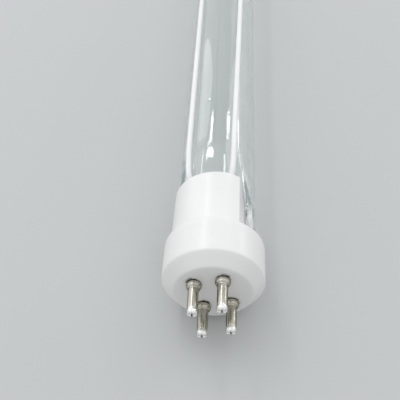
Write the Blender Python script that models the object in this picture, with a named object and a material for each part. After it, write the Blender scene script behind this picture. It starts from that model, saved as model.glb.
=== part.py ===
"""Ultraviolet lamp: a clear quartz tube with one four-pin ceramic base.

The lamp lies along Y. The origin is the middle of the flat face that carries the
pins; the pins point to -Y and the tube runs to +Y. Z is up. Lengths are metres.
Each piece is drawn in the lamp's own section, where X runs across the width of the
flattened glass seals and Z through their thickness, and is then clocked about Y.
"""

import math

import bmesh
import bpy
from mathutils import Matrix, Vector

MM = 0.001

# Whole lamp
LAMP_LENGTH = 287.0 * MM
CLOCKING = math.radians(15.0)
FIT_GAP = 0.3 * MM
OVERCUT = 1.0 * MM
ROUND_SEGMENTS = 48

# Quartz tube
TUBE_RADIUS = 9.25 * MM
TUBE_WALL = 1.1 * MM

# Ceramic base, from the pin face to the rim of its collar
COLLAR_STEP = 0.65 * MM
COLLAR_TAPER = 0.2 * MM
COLLAR_RIM_RADIUS = TUBE_RADIUS + COLLAR_STEP
COLLAR_ROOT_RADIUS = COLLAR_RIM_RADIUS + COLLAR_TAPER
FLANGE_STEP = 1.25 * MM
FLANGE_RADIUS = COLLAR_ROOT_RADIUS + FLANGE_STEP
FLANGE_LENGTH = 12.1 * MM
FACE_INSET = 2.69 * MM
FACE_RADIUS = FLANGE_RADIUS - FACE_INSET
FACE_CHAMFER = 2.7 * MM
FACE_FILLET = 0.9 * MM
BACK_FILLET = 0.7 * MM
COLLAR_LENGTH = 15.5 * MM
RIM_STATION = FLANGE_LENGTH + COLLAR_LENGTH
RIM_WALL = 0.5 * MM
RIM_FILLET = 0.2 * MM
SMALL_FILLET = 0.4 * MM
BORE_STEP = 1.75 * MM
BORE_RADIUS = TUBE_RADIUS - BORE_STEP
BORE_FLOOR = 5.0 * MM
BORE_FILLET = 0.6 * MM
BELL_LENGTH = 7.1 * MM
BELL_START = RIM_STATION - BELL_LENGTH
BELL_POWER = 2.2
BELL_STEPS = 5

# Pins, on a rectangle of 6.35 by 7.92 mm
PIN_PITCH_WIDE = 6.35 * MM
PIN_PITCH_DEEP = 7.92 * MM
PIN_RADIUS = 1.15 * MM
PIN_TIP_SWELL = 0.05 * MM
PIN_TIP_RADIUS = PIN_RADIUS + PIN_TIP_SWELL
PIN_LENGTH = 8.2 * MM
PIN_TAIL = 0.6 * MM
PIN_TAIL_END = BORE_FLOOR + PIN_TAIL
PIN_WALL = 0.5 * MM
PIN_SWELL_LENGTH = 1.4 * MM
PIN_SEGMENTS = 20
BEAD_STEP = 0.5 * MM
BEAD_RADIUS = PIN_RADIUS + BEAD_STEP
BEAD_LENGTH = 1.25 * MM
BEAD_SEAT = FIT_GAP / 2
BEAD_FILLET = 0.55 * MM
CRIMP_SLOT = 0.4 * MM
CRIMP_DEPTH = 0.7 * MM
PIN_BORE_END = -PIN_LENGTH + 2 * CRIMP_DEPTH
CORE_STOP = 1.2 * MM
CORE_END = PIN_BORE_END + CORE_STOP

# Pressed ends of the quartz tube, as distances from each end of the lamp
PRESS_SEAT = 2.7 * MM
PRESS_END = FLANGE_LENGTH + PRESS_SEAT
PRESS_LENGTH = 6.2 * MM
PRESS_FLAT_END = PRESS_END + PRESS_LENGTH
SHOULDER_LENGTH = 18.5 * MM
SHOULDER_END = PRESS_FLAT_END + SHOULDER_LENGTH
SHOULDER_MARGIN = 1.5 * MM
SHOULDER_RINGS = 12
PRESS_HALF = 1.25 * MM
PRESS_SOFTNESS = 0.35 * MM
PRESS_BEAD = 0.4 * MM
PRESS_BEAD_INSET = 0.8 * MM
PRESS_BEAD_PLACE = TUBE_RADIUS - PRESS_BEAD_INSET
PRESS_BEAD_SPREAD = 0.75 * MM
GAS_INSET = 2.6 * MM
GAS_END = PRESS_FLAT_END + GAS_INSET
GAS_RINGS = 9
WINDOW_GAP = 0.47 * MM
WINDOW_FLAT = math.sqrt(BORE_RADIUS**2 - (PRESS_HALF + WINDOW_GAP) ** 2)

# Molybdenum foils, leads and filaments
LEAD_INSET = 1.25 * MM
LEAD_PLACE = TUBE_RADIUS - TUBE_WALL - LEAD_INSET
LEAD_RADIUS = 0.25 * MM
LEAD_LAP = 2.4 * MM
LEAD_STEP = 1.3 * MM
LEAD_BENDS = ((0.28, 0.0), (0.59, 0.5), (0.86, 1.0))
FOIL_WIDTH = 2.2 * MM
FOIL_THICKNESS = 0.1 * MM
FOIL_INSET = 1.0 * MM
FOIL_STOP = 0.8 * MM
FOIL_CLEARANCE = 0.2 * MM
FOIL_START = PRESS_END + FOIL_INSET
FOIL_END = GAS_END - FOIL_STOP
FOIL_DROP = LEAD_RADIUS + FOIL_THICKNESS / 2 + FOIL_CLEARANCE
WAY_HALF_WIDTH = FOIL_WIDTH / 2 + FIT_GAP
WAY_HALF_HEIGHT = FOIL_DROP + FOIL_THICKNESS / 2 + FIT_GAP / 2
FILAMENT_INSET = 5.0 * MM
FILAMENT_STATION = SHOULDER_END - FILAMENT_INSET
LEAD_LEAN = 2.0 * MM
FILAMENT_PLACE = LEAD_PLACE - LEAD_LEAN
FILAMENT_REACH = FILAMENT_PLACE - LEAD_RADIUS - FIT_GAP
COIL_RADIUS = 0.9 * MM
COIL_WIRE_RADIUS = 0.18 * MM
COIL_TAIL = 1.35 * MM
COIL_LENGTH = 2 * (FILAMENT_REACH - COIL_TAIL)
COIL_TURNS = 7
COIL_STEPS = 8

# Return wires, from the far filament back to two of the pins; their angles round the
# tube are in degrees from the middle of its top, at its near end, middle and far end
WIRE_RADIUS = 0.7 * MM
WIRE_CORE_RADIUS = 0.25 * MM
WIRE_ANGLES_LEFT = (-30.0, -29.0, -29.5)
WIRE_ANGLES_RIGHT = (36.6, 46.5, 43.0)
WIRE_STRIP_INSET = 3.0 * MM
WIRE_STRIP = PIN_TAIL_END + WIRE_STRIP_INSET
WIRE_STRIP_EDGE = 0.02 * MM
WIRE_STEP = 4.8 * MM
WIRE_FAR_INSET = 0.9 * MM
WIRE_FAR_PLACE = LEAD_PLACE - WIRE_FAR_INSET
WIRE_FAR_HEIGHT = PRESS_HALF + PRESS_BEAD + WIRE_RADIUS + 3 * FIT_GAP

# How a wire leaves the round tube: share of the shoulder, share of the way out
WIRE_DIPS_NEAR = ((0.08, 0.12), (0.27, 0.42), (0.43, 0.82), (0.66, 0.95))
WIRE_DIPS_FAR = ((0.08, 0.12), (0.27, 0.42), (0.49, 0.66), (0.70, 0.87))

# Plain cap on the far end, cement in both ceramics, joints inside the cap
CAP_CLEARANCE = 0.45 * MM
CAP_BORE_RADIUS = TUBE_RADIUS + CAP_CLEARANCE
CAP_FLOOR = 3.2 * MM
CAP_CHAMFER = 1.0 * MM
CEMENT_START = FLANGE_LENGTH + FIT_GAP
CEMENT_DEPTH = 4.6 * MM
CEMENT_END = CEMENT_START + CEMENT_DEPTH
CEMENT_SEAT = PRESS_END - FIT_GAP
CEMENT_LEDGE_PLACE = TUBE_RADIUS - FIT_GAP
CEMENT_LEDGE_HALF = PRESS_HALF + PRESS_BEAD
SEAL_SLOT_HALF = CEMENT_LEDGE_HALF + FIT_GAP
WAY_SEGMENTS = 12
JOINT_HEIGHT = LEAD_RADIUS + WIRE_CORE_RADIUS + 1.5 * FIT_GAP
SPLICE_BORE = JOINT_HEIGHT / 2 + LEAD_RADIUS + FIT_GAP
SPLICE_INSET = 0.7 * MM
SPLICE_LENGTH = 4.4 * MM
SPLICE_START = CAP_FLOOR + SPLICE_INSET
SPLICE_END = SPLICE_START + SPLICE_LENGTH
SPLICE_WALL = 0.3 * MM

# Mercury drop on the lower inside of the tube
MERCURY_RADIUS = 0.6 * MM
MERCURY_FLATTENING = 0.8
MERCURY_STATION = 75.0 * MM
MERCURY_ANGLE = math.radians(209.0)

# Left and right are those of the whole lamp seen from its pins; the far end's own
# frame is turned half round, so there the left is at +X
SIDES = {"near": {"left": -1.0, "right": 1.0}, "far": {"left": 1.0, "right": -1.0}}


def clear_scene():
    """Remove everything that the scene holds."""
    for item in list(bpy.data.objects):
        bpy.data.objects.remove(item, do_unlink=True)


def finish_of(name, colour, roughness, metallic=0.0, alpha=1.0):
    """Make one Principled material."""
    made = bpy.data.materials.new(name)
    made.use_nodes = True
    shader = made.node_tree.nodes["Principled BSDF"]
    shader.inputs["Base Color"].default_value = (*colour, 1.0)
    shader.inputs["Roughness"].default_value = roughness
    shader.inputs["Metallic"].default_value = metallic
    shader.inputs["Alpha"].default_value = alpha
    return made


def frame_empty(name, parent=None):
    """An empty that carries the pieces of one end or of the whole lamp."""
    empty = bpy.data.objects.new(name, None)
    bpy.context.collection.objects.link(empty)
    empty.parent = parent
    return empty


def add_piece(name, mesh, finish, parent):
    """Link a mesh or a curve as one named piece."""
    piece = bpy.data.objects.new(name, mesh)
    bpy.context.collection.objects.link(piece)
    piece.parent = parent
    if finish is not None and not mesh.materials:
        mesh.materials.append(finish)
    return piece


def add_cutter(name, mesh, parent):
    """A helper solid that only cuts others."""
    cutter = add_piece(name, mesh, None, parent)
    cutter.hide_render = True
    cutter.display_type = "WIRE"
    return cutter


def cut(piece, cutter, operation="DIFFERENCE"):
    """Cut a piece with a helper solid, or join the helper to it."""
    boolean = piece.modifiers.new(cutter.name, "BOOLEAN")
    boolean.operation = operation
    boolean.solver = "EXACT"
    boolean.object = cutter


def mesh_from(bm, name, sharp=35.0):
    """Turn a bmesh into a mesh with outward faces, smooth except at sharp edges."""
    bmesh.ops.remove_doubles(bm, verts=bm.verts, dist=1e-7)
    bmesh.ops.recalc_face_normals(bm, faces=bm.faces)
    mesh = bpy.data.meshes.new(name)
    bm.to_mesh(mesh)
    bm.free()
    mesh.shade_smooth()
    mesh.set_sharp_from_angle(angle=math.radians(sharp))
    return mesh


def rounded(corners, steps=2):
    """Replace each corner (radius, station, fillet) by an arc of that fillet."""
    outline = []
    for index, (radius, station, fillet) in enumerate(corners):
        here = Vector((radius, station))
        if fillet == 0.0:
            outline.append(here)
            continue
        before = Vector(corners[index - 1][:2]) - here
        after = Vector(corners[index + 1][:2]) - here
        before.normalize()
        after.normalize()
        half = before.angle(after) / 2
        centre = here + (before + after).normalized() * fillet / math.sin(half)
        start = here + before * fillet / math.tan(half) - centre
        end = here + after * fillet / math.tan(half) - centre
        for step in range(steps + 1):
            blend = start.lerp(end, step / steps).normalized() * fillet
            outline.append(centre + blend)
    return outline


def turned(name, outline, segments):
    """Spin an outline of (radius, station) points about Y, with a flat at the bottom."""
    bm = bmesh.new()
    half_step = math.pi / segments
    points = []
    for radius, station in outline:
        across = radius * math.cos(half_step)
        up = radius * math.sin(half_step)
        points.append(bm.verts.new((across, station, up)))
    edges = [bm.edges.new(pair) for pair in zip(points, points[1:])]
    if outline[0][0] > 0.0:
        edges.append(bm.edges.new((points[-1], points[0])))
    bmesh.ops.spin(
        bm,
        geom=points + edges,
        axis=(0.0, 1.0, 0.0),
        cent=(0.0, 0.0, 0.0),
        angle=2 * math.pi,
        steps=segments,
        use_merge=True,
    )
    return mesh_from(bm, name)


def skinned(name, rings):
    """Join successive rings of points with faces and close both ends."""
    bm = bmesh.new()
    loops = [[bm.verts.new(point) for point in ring] for ring in rings]
    count = len(loops[0])
    for near, far in zip(loops, loops[1:]):
        for index in range(count):
            following = (index + 1) % count
            bm.faces.new((near[index], near[following], far[following], far[index]))
    bm.faces.new(loops[0])
    bm.faces.new(loops[-1])
    return mesh_from(bm, name)


def block(name, low, high):
    """A box between two corners."""
    bm = bmesh.new()
    size = Vector(high) - Vector(low)
    middle = (Vector(high) + Vector(low)) / 2
    stretch = Matrix.Diagonal((*size, 1.0))
    bmesh.ops.create_cube(bm, size=1.0, matrix=Matrix.Translation(middle) @ stretch)
    return mesh_from(bm, name)


def rod(name, place, height, radius, start, end, segments):
    """A cylinder along Y at a place across the section."""
    bm = bmesh.new()
    turn = Matrix.Rotation(math.radians(90.0), 4, "X")
    middle = Matrix.Translation((place, (start + end) / 2, height))
    bmesh.ops.create_cone(
        bm,
        cap_ends=True,
        segments=segments,
        radius1=radius,
        radius2=radius,
        depth=end - start,
        matrix=middle @ turn,
    )
    return mesh_from(bm, name)


def smooth_route(knots, step):
    """Points at an even step along a smooth curve through the knots."""
    padded = [knots[0] * 2 - knots[1], *knots, knots[-1] * 2 - knots[-2]]
    dense = []
    for before, start, end, after in zip(padded, padded[1:], padded[2:], padded[3:]):
        pieces = max(2, math.ceil((end - start).length / step))
        leaving = (end - before) / 2
        arriving = (after - start) / 2
        stretch = (end - start).length
        leaving = leaving.normalized() * stretch
        arriving = arriving.normalized() * stretch
        for piece in range(pieces):
            at = piece / pieces
            dense.append(
                start * (2 * at**3 - 3 * at**2 + 1)
                + leaving * (at**3 - 2 * at**2 + at)
                + end * (3 * at**2 - 2 * at**3)
                + arriving * (at**3 - at**2)
            )
    dense.append(knots[-1])
    return dense


def wire(name, points, radii, resolution):
    """A round wire along points, each with its own radius."""
    curve = bpy.data.curves.new(name, "CURVE")
    curve.dimensions = "3D"
    curve.bevel_depth = max(radii)
    curve.bevel_resolution = resolution
    curve.use_fill_caps = True
    spline = curve.splines.new("POLY")
    spline.points.add(len(points) - 1)
    for knot, point, radius in zip(spline.points, points, radii):
        knot.co = (*point, 1.0)
        knot.radius = radius / curve.bevel_depth
    return curve


def base_shell_mesh():
    """The glazed ceramic base: chamfered flange, collar and bell-mouthed bore."""
    outline = rounded(
        [
            (0.0, 0.0, 0.0),
            (FACE_RADIUS, 0.0, FACE_FILLET),
            (FLANGE_RADIUS, FACE_CHAMFER, FACE_FILLET),
            (FLANGE_RADIUS, FLANGE_LENGTH, BACK_FILLET),
            (COLLAR_ROOT_RADIUS, FLANGE_LENGTH, SMALL_FILLET),
            (COLLAR_RIM_RADIUS, RIM_STATION, RIM_FILLET),
            (COLLAR_RIM_RADIUS - RIM_WALL, RIM_STATION, 0.0),
        ]
    )
    mouth = COLLAR_RIM_RADIUS - RIM_WALL - BORE_RADIUS
    for step in range(BELL_STEPS - 1, -1, -1):
        along = step / BELL_STEPS
        radius = BORE_RADIUS + mouth * along**BELL_POWER
        outline.append(Vector((radius, BELL_START + (RIM_STATION - BELL_START) * along)))
    floor = [
        (BORE_RADIUS, BELL_START, 0.0),
        (BORE_RADIUS, BORE_FLOOR, BORE_FILLET),
        (0.0, BORE_FLOOR, 0.0),
    ]
    outline.extend(rounded(floor)[1:])
    return turned("base_shell", outline, ROUND_SEGMENTS)


def press_slot_mesh():
    """The narrow slot for the far edge of the seal, wider towards the rim."""
    wide = seal_height(RIM_STATION) + FIT_GAP / 2
    stations = [
        (FLANGE_LENGTH, SEAL_SLOT_HALF),
        (BELL_START, SEAL_SLOT_HALF),
        (RIM_STATION, wide),
        (RIM_STATION + OVERCUT, wide),
    ]
    rings = []
    for place in (-FLANGE_RADIUS, -WINDOW_FLAT + OVERCUT):
        upper = [(place, station, height) for station, height in stations]
        lower = [(place, station, -height) for station, height in reversed(stations)]
        rings.append(upper + lower)
    return skinned("press_slot", rings)


def pin_places():
    """Centres of the four pins, two above the seal and two below it."""
    return {
        "contact_pin_upper_left": (-PIN_PITCH_WIDE / 2, PIN_PITCH_DEEP / 2),
        "contact_pin_upper_right": (PIN_PITCH_WIDE / 2, PIN_PITCH_DEEP / 2),
        "contact_pin_lower_left": (-PIN_PITCH_WIDE / 2, -PIN_PITCH_DEEP / 2),
        "contact_pin_lower_right": (PIN_PITCH_WIDE / 2, -PIN_PITCH_DEEP / 2),
    }


def build_base(parent, glaze):
    """Ceramic base with its pin holes, the side window and the slot behind it."""
    shell = add_piece("base_shell", base_shell_mesh(), glaze, parent)
    window = block(
        "seal_window",
        (WINDOW_FLAT, FLANGE_LENGTH, -FLANGE_RADIUS),
        (FLANGE_RADIUS, RIM_STATION + FIT_GAP, FLANGE_RADIUS),
    )
    cut(shell, add_cutter("seal_window", window, parent))
    cut(shell, add_cutter("press_slot", press_slot_mesh(), parent))
    for name, (place, height) in pin_places().items():
        hole = rod(
            "hole",
            place,
            height,
            PIN_RADIUS + FIT_GAP,
            -OVERCUT,
            BORE_FLOOR + OVERCUT,
            PIN_SEGMENTS,
        )
        cut(shell, add_cutter(name.replace("contact_pin", "hole"), hole, parent))


def pin_mesh():
    """A hollow pin: tail behind the ceramic, bead on its face, slightly swollen tip."""
    bore = PIN_RADIUS - PIN_WALL
    bead_end = -BEAD_SEAT - BEAD_LENGTH
    outline = rounded(
        [
            (bore, PIN_TAIL_END, 0.0),
            (bore, PIN_BORE_END, 0.0),
            (0.0, PIN_BORE_END, 0.0),
            (0.0, -PIN_LENGTH, 0.0),
            (PIN_TIP_RADIUS, -PIN_LENGTH, BEAD_FILLET),
            (PIN_RADIUS, -PIN_LENGTH + PIN_SWELL_LENGTH, 0.0),
            (PIN_RADIUS, bead_end, 0.0),
            (BEAD_RADIUS, bead_end, BEAD_FILLET),
            (BEAD_RADIUS, -BEAD_SEAT, SMALL_FILLET),
            (PIN_RADIUS, -BEAD_SEAT, 0.0),
            (PIN_RADIUS, PIN_TAIL_END, 0.0),
        ]
    )
    return turned("contact_pin", outline, PIN_SEGMENTS)


def crimp_mesh():
    """The crossed slots that the crimping tool leaves in a pin's tip."""
    bm = bmesh.new()
    reach = PIN_RADIUS + OVERCUT
    deep = -PIN_LENGTH + CRIMP_DEPTH
    out = -PIN_LENGTH - CRIMP_DEPTH
    half = CRIMP_SLOT / 2
    corners = [
        (reach, half),
        (half, half),
        (half, reach),
        (-half, reach),
        (-half, half),
        (-reach, half),
        (-reach, -half),
        (-half, -half),
        (-half, -reach),
        (half, -reach),
        (half, -half),
        (reach, -half),
    ]
    floor = bm.faces.new([bm.verts.new((x, deep, z)) for x, z in corners])
    grown = bmesh.ops.extrude_face_region(bm, geom=[floor])
    moved = [item for item in grown["geom"] if isinstance(item, bmesh.types.BMVert)]
    bmesh.ops.translate(bm, verts=moved, vec=(0.0, out - deep, 0.0))
    return mesh_from(bm, "crimp")


def build_pins(parent, nickel):
    """Four separate pins that share one mesh."""
    mesh = pin_mesh()
    crimp = crimp_mesh()
    for name, (place, height) in pin_places().items():
        pin = add_piece(name, mesh, nickel, parent)
        pin.location = (place, 0.0, height)
        slot = add_cutter(name.replace("contact_pin", "crimp"), crimp, parent)
        slot.location = pin.location
        slot.rotation_euler = (0.0, CLOCKING, 0.0)
        cut(pin, slot)


def seal_height(station):
    """Half thickness of the flattened glass at a distance from its lamp end."""
    slope = (TUBE_RADIUS - PRESS_HALF) / (SHOULDER_END - PRESS_FLAT_END)
    rise = (station - PRESS_FLAT_END) * slope
    return PRESS_HALF + (rise + math.hypot(rise, PRESS_SOFTNESS)) / 2


def glass_section(station, radius, inset, bead):
    """One ring of the tube: round, or flattened where the seal presses it."""
    ring = []
    for index in range(ROUND_SEGMENTS):
        angle = 2 * math.pi * (index + 0.5) / ROUND_SEGMENTS
        across = radius * math.cos(angle)
        circle = radius * abs(math.sin(angle))
        offset = (abs(across) - PRESS_BEAD_PLACE) / PRESS_BEAD_SPREAD
        flat = seal_height(station) - inset + bead * math.exp(-offset * offset)
        height = min(circle, flat)
        ring.append((across, height if angle < math.pi else -height))
    return ring


def tube_rings(stations, radius, inset, bead):
    """Rings for both halves of the tube, the far half a mirror of the near one."""
    rings = []
    for station in stations:
        section = glass_section(station, radius, inset, bead)
        rings.append([(x, station, z) for x, z in section])
    for station in reversed(stations):
        section = glass_section(station, radius, inset, bead)
        rings.append([(x, LAMP_LENGTH - station, z) for x, z in section])
    return rings


def spaced(start, end, count):
    """Evenly spaced values from start to end."""
    return [start + (end - start) * index / (count - 1) for index in range(count)]


def build_envelope(parent, quartz, ends):
    """The quartz tube, pressed flat at both ends, with its gas space and lead ways."""
    low = PRESS_FLAT_END - SHOULDER_MARGIN
    high = SHOULDER_END + SHOULDER_MARGIN
    stations = [PRESS_END, *spaced(low, high, SHOULDER_RINGS)]
    shape = skinned("quartz_envelope", tube_rings(stations, TUBE_RADIUS, 0.0, PRESS_BEAD))
    envelope = add_piece("quartz_envelope", shape, quartz, parent)
    inner = spaced(GAS_END, high, GAS_RINGS)
    gas = skinned("gas_space", tube_rings(inner, TUBE_RADIUS - TUBE_WALL, TUBE_WALL, 0.0))
    cut(envelope, add_cutter("gas_space", gas, parent))
    for end_name, end in ends.items():
        for side_name, side in SIDES[end_name].items():
            place = side * LEAD_PLACE
            way = block(
                "lead_way",
                (place - WAY_HALF_WIDTH, PRESS_END - OVERCUT, -WAY_HALF_HEIGHT),
                (place + WAY_HALF_WIDTH, GAS_END + OVERCUT / 2, WAY_HALF_HEIGHT),
            )
            cut(envelope, add_cutter(f"lead_way_{end_name}_{side_name}", way, end))


def foil_mesh():
    """A feather-edged foil strip, thickest along its middle."""
    half = FOIL_WIDTH / 2
    thick = FOIL_THICKNESS / 2
    section = [(-half, 0.0), (0.0, thick), (half, 0.0), (0.0, -thick)]
    rings = []
    for station in (FOIL_START, FOIL_END):
        rings.append([(x, station, z - FOIL_DROP) for x, z in section])
    return skinned("foil", rings)


def inner_lead_curve(side):
    """The support rod from the foil up to one end of the filament."""
    knots = [Vector((side * LEAD_PLACE, FOIL_END - LEAD_LAP, 0.0))]
    for rise, inward in LEAD_BENDS:
        place = LEAD_PLACE + (FILAMENT_PLACE - LEAD_PLACE) * inward
        station = GAS_END + (FILAMENT_STATION - GAS_END) * rise
        knots.append(Vector((side * place, station, 0.0)))
    knots.append(Vector((side * FILAMENT_PLACE, FILAMENT_STATION + COIL_RADIUS, 0.0)))
    points = smooth_route(knots, LEAD_STEP)
    return wire("inner_lead", points, [LEAD_RADIUS] * len(points), 2)


def filament_curve():
    """The coiled tungsten filament with a straight tail at each end."""
    start = -COIL_LENGTH / 2
    points = [Vector((-FILAMENT_REACH, FILAMENT_STATION, COIL_RADIUS))]
    for index in range(COIL_TURNS * COIL_STEPS + 1):
        angle = 2 * math.pi * index / COIL_STEPS
        along = start + COIL_LENGTH * index / (COIL_TURNS * COIL_STEPS)
        points.append(
            Vector(
                (
                    along,
                    FILAMENT_STATION + COIL_RADIUS * math.sin(angle),
                    COIL_RADIUS * math.cos(angle),
                )
            )
        )
    points.append(Vector((FILAMENT_REACH, FILAMENT_STATION, COIL_RADIUS)))
    return wire("filament", points, [COIL_WIRE_RADIUS] * len(points), 1)


def near_lead_curve(side):
    """The outer lead from the near foil, bent down into a lower pin."""
    pin_x = side * PIN_PITCH_WIDE / 2
    pin_z = -PIN_PITCH_DEEP / 2
    middle = ((side * LEAD_PLACE + pin_x) / 2, (CEMENT_START + PIN_TAIL_END) / 2, pin_z / 2)
    knots = [
        Vector((side * LEAD_PLACE, FOIL_START + LEAD_LAP, 0.0)),
        Vector((side * LEAD_PLACE, CEMENT_START - FIT_GAP, 0.0)),
        Vector(middle),
        Vector((pin_x, PIN_TAIL_END + 2 * FIT_GAP, pin_z)),
        Vector((pin_x, CORE_END, pin_z)),
    ]
    points = smooth_route(knots, LEAD_STEP)
    return wire("outer_lead_near", points, [LEAD_RADIUS] * len(points), 2)


def far_lead_curve(side):
    """The straight outer lead at the far end, which ends in its joint."""
    points = [
        Vector((side * LEAD_PLACE, FOIL_START + LEAD_LAP, 0.0)),
        Vector((side * LEAD_PLACE, SPLICE_START + FIT_GAP, 0.0)),
    ]
    return wire("outer_lead_far", points, [LEAD_RADIUS] * 2, 2)


def build_electrodes(ends, tungsten, molybdenum):
    """At each end: two foils, their leads on both sides and the filament between them."""
    foil = foil_mesh()
    coil = filament_curve()
    lead_curves = {"near": near_lead_curve, "far": far_lead_curve}
    for end_name, end in ends.items():
        add_piece(f"filament_{end_name}", coil, tungsten, end)
        for side_name, side in SIDES[end_name].items():
            suffix = f"{end_name}_{side_name}"
            strip = add_piece(f"foil_{suffix}", foil, molybdenum, end)
            strip.location = (side * LEAD_PLACE, 0.0, 0.0)
            add_piece(f"inner_lead_{suffix}", inner_lead_curve(side), tungsten, end)
            add_piece(f"outer_lead_{suffix}", lead_curves[end_name](side), molybdenum, end)


def dip_places(inside, outside, dips):
    """Where a wire follows the shoulder between its place in a ceramic and on the tube."""
    rest = WIRE_RADIUS + 2 * FIT_GAP
    places = []
    for rise, share in dips:
        station = PRESS_FLAT_END + (SHOULDER_END - PRESS_FLAT_END) * rise
        place = inside.lerp(outside, share)
        place.z = max(place.z, seal_height(station) + rest)
        places.append((place, station))
    return places


def wire_knots(side, angles):
    """The route of one return wire, from inside its pin to its joint in the cap."""
    lie = TUBE_RADIUS + WIRE_RADIUS + FIT_GAP
    turns = [math.radians(angle) for angle in angles]
    near, middle, far = [Vector((math.sin(turn), 0.0, math.cos(turn))) * lie for turn in turns]
    pin = Vector((side * PIN_PITCH_WIDE / 2, 0.0, PIN_PITCH_DEEP / 2))
    joint = Vector((side * LEAD_PLACE, 0.0, JOINT_HEIGHT))
    inside = Vector((side * WIRE_FAR_PLACE, 0.0, WIRE_FAR_HEIGHT))
    along = Vector((0.0, 1.0, 0.0))
    far_end = along * LAMP_LENGTH
    knots = [pin + along * CORE_END, pin + along * PIN_TAIL_END, pin + along * CEMENT_END]
    dips = dip_places(pin, near, WIRE_DIPS_NEAR)
    knots += [place + along * station for place, station in dips]
    knots.append(near + along * SHOULDER_END)
    knots.append(middle + far_end / 2)
    knots.append(far + far_end - along * SHOULDER_END)
    dips = reversed(dip_places(inside, far, WIRE_DIPS_FAR))
    knots += [place + far_end - along * station for place, station in dips]
    knots.append(inside + far_end - along * CEMENT_END)
    knots.append(inside + far_end - along * CEMENT_START)
    knots.append(joint + far_end - along * SPLICE_END)
    knots.append(joint + far_end - along * (SPLICE_START + FIT_GAP))
    return knots


def return_wire_curve(side, angles):
    """One insulated wire with a bare core at both ends."""
    points = smooth_route(wire_knots(side, angles), WIRE_STEP)
    strip_far = LAMP_LENGTH - SPLICE_END - FIT_GAP
    strips = {
        WIRE_STRIP: [WIRE_CORE_RADIUS, WIRE_RADIUS],
        strip_far: [WIRE_RADIUS, WIRE_CORE_RADIUS],
    }
    route = []
    radii = []
    for before, after in zip(points, points[1:]):
        covered = WIRE_STRIP < before.y < strip_far
        route.append(before)
        radii.append(WIRE_RADIUS if covered else WIRE_CORE_RADIUS)
        for strip, step_radii in strips.items():
            if before.y < strip <= after.y:
                edge = before.lerp(after, (strip - before.y) / (after.y - before.y))
                step = (after - before).normalized() * WIRE_STRIP_EDGE
                route.extend([edge - step, edge + step])
                radii.extend(step_radii)
    route.append(points[-1])
    radii.append(WIRE_CORE_RADIUS)
    return wire("return_wire", route, radii, 2)


def build_return_wires(parent, insulation):
    """The two white wires that run outside the glass."""
    left = return_wire_curve(-1.0, WIRE_ANGLES_LEFT)
    right = return_wire_curve(1.0, WIRE_ANGLES_RIGHT)
    add_piece("return_wire_left", left, insulation, parent)
    add_piece("return_wire_right", right, insulation, parent)


def cement_mesh(name, radius):
    """A disc of cement in the bore of a ceramic."""
    outline = [
        Vector((0.0, CEMENT_START)),
        Vector((radius, CEMENT_START)),
        Vector((radius, CEMENT_END)),
        Vector((0.0, CEMENT_END)),
    ]
    return turned(name, outline, ROUND_SEGMENTS)


def build_cement(name, end, radius, wire_places, finish):
    """Cement round the end of a seal, with the ways of two leads and two wires."""
    cement = add_piece(name, cement_mesh(name, radius), finish, end)
    if radius < CEMENT_LEDGE_PLACE:
        ledge = block(
            "ledge",
            (-CEMENT_LEDGE_PLACE, CEMENT_START, -CEMENT_LEDGE_HALF),
            (CEMENT_LEDGE_PLACE, CEMENT_SEAT, CEMENT_LEDGE_HALF),
        )
        cut(cement, add_cutter(f"{name}_ledge", ledge, end), "UNION")
    reach = TUBE_RADIUS + OVERCUT
    slot = block(
        "slot",
        (-reach, CEMENT_SEAT, -SEAL_SLOT_HALF),
        (reach, CEMENT_END + OVERCUT, SEAL_SLOT_HALF),
    )
    cut(cement, add_cutter(f"{name}_slot", slot, end))
    ways = [(side * LEAD_PLACE, 0.0, LEAD_RADIUS + FIT_GAP) for side in (-1.0, 1.0)]
    ways += [(place, height, WIRE_RADIUS + FIT_GAP) for place, height in wire_places]
    for index, (place, height, way_radius) in enumerate(ways):
        low = CEMENT_START - OVERCUT
        high = CEMENT_END + 2 * OVERCUT
        way = rod("way", place, height, way_radius, low, high, WAY_SEGMENTS)
        cut(cement, add_cutter(f"{name}_way_{index}", way, end))


def build_end_cap(end, glaze):
    """The plain ceramic cup over the far seal."""
    outline = rounded(
        [
            (0.0, 0.0, 0.0),
            (FLANGE_RADIUS - CAP_CHAMFER, 0.0, SMALL_FILLET),
            (FLANGE_RADIUS, CAP_CHAMFER, SMALL_FILLET),
            (FLANGE_RADIUS, RIM_STATION, SMALL_FILLET),
            (CAP_BORE_RADIUS, RIM_STATION, SMALL_FILLET),
            (CAP_BORE_RADIUS, CAP_FLOOR, BORE_FILLET),
            (0.0, CAP_FLOOR, 0.0),
        ]
    )
    add_piece("end_cap", turned("end_cap", outline, ROUND_SEGMENTS), glaze, end)


def build_splices(end, nickel):
    """The crimped sleeves that join the far leads to the return wires."""
    outline = [
        Vector((SPLICE_BORE, SPLICE_END)),
        Vector((SPLICE_BORE, SPLICE_START)),
        Vector((SPLICE_BORE + SPLICE_WALL, SPLICE_START)),
        Vector((SPLICE_BORE + SPLICE_WALL, SPLICE_END)),
    ]
    mesh = turned("splice_sleeve", outline, PIN_SEGMENTS)
    for side_name, side in SIDES["far"].items():
        sleeve = add_piece(f"splice_sleeve_{side_name}", mesh, nickel, end)
        sleeve.location = (side * LEAD_PLACE, 0.0, JOINT_HEIGHT / 2)


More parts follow.
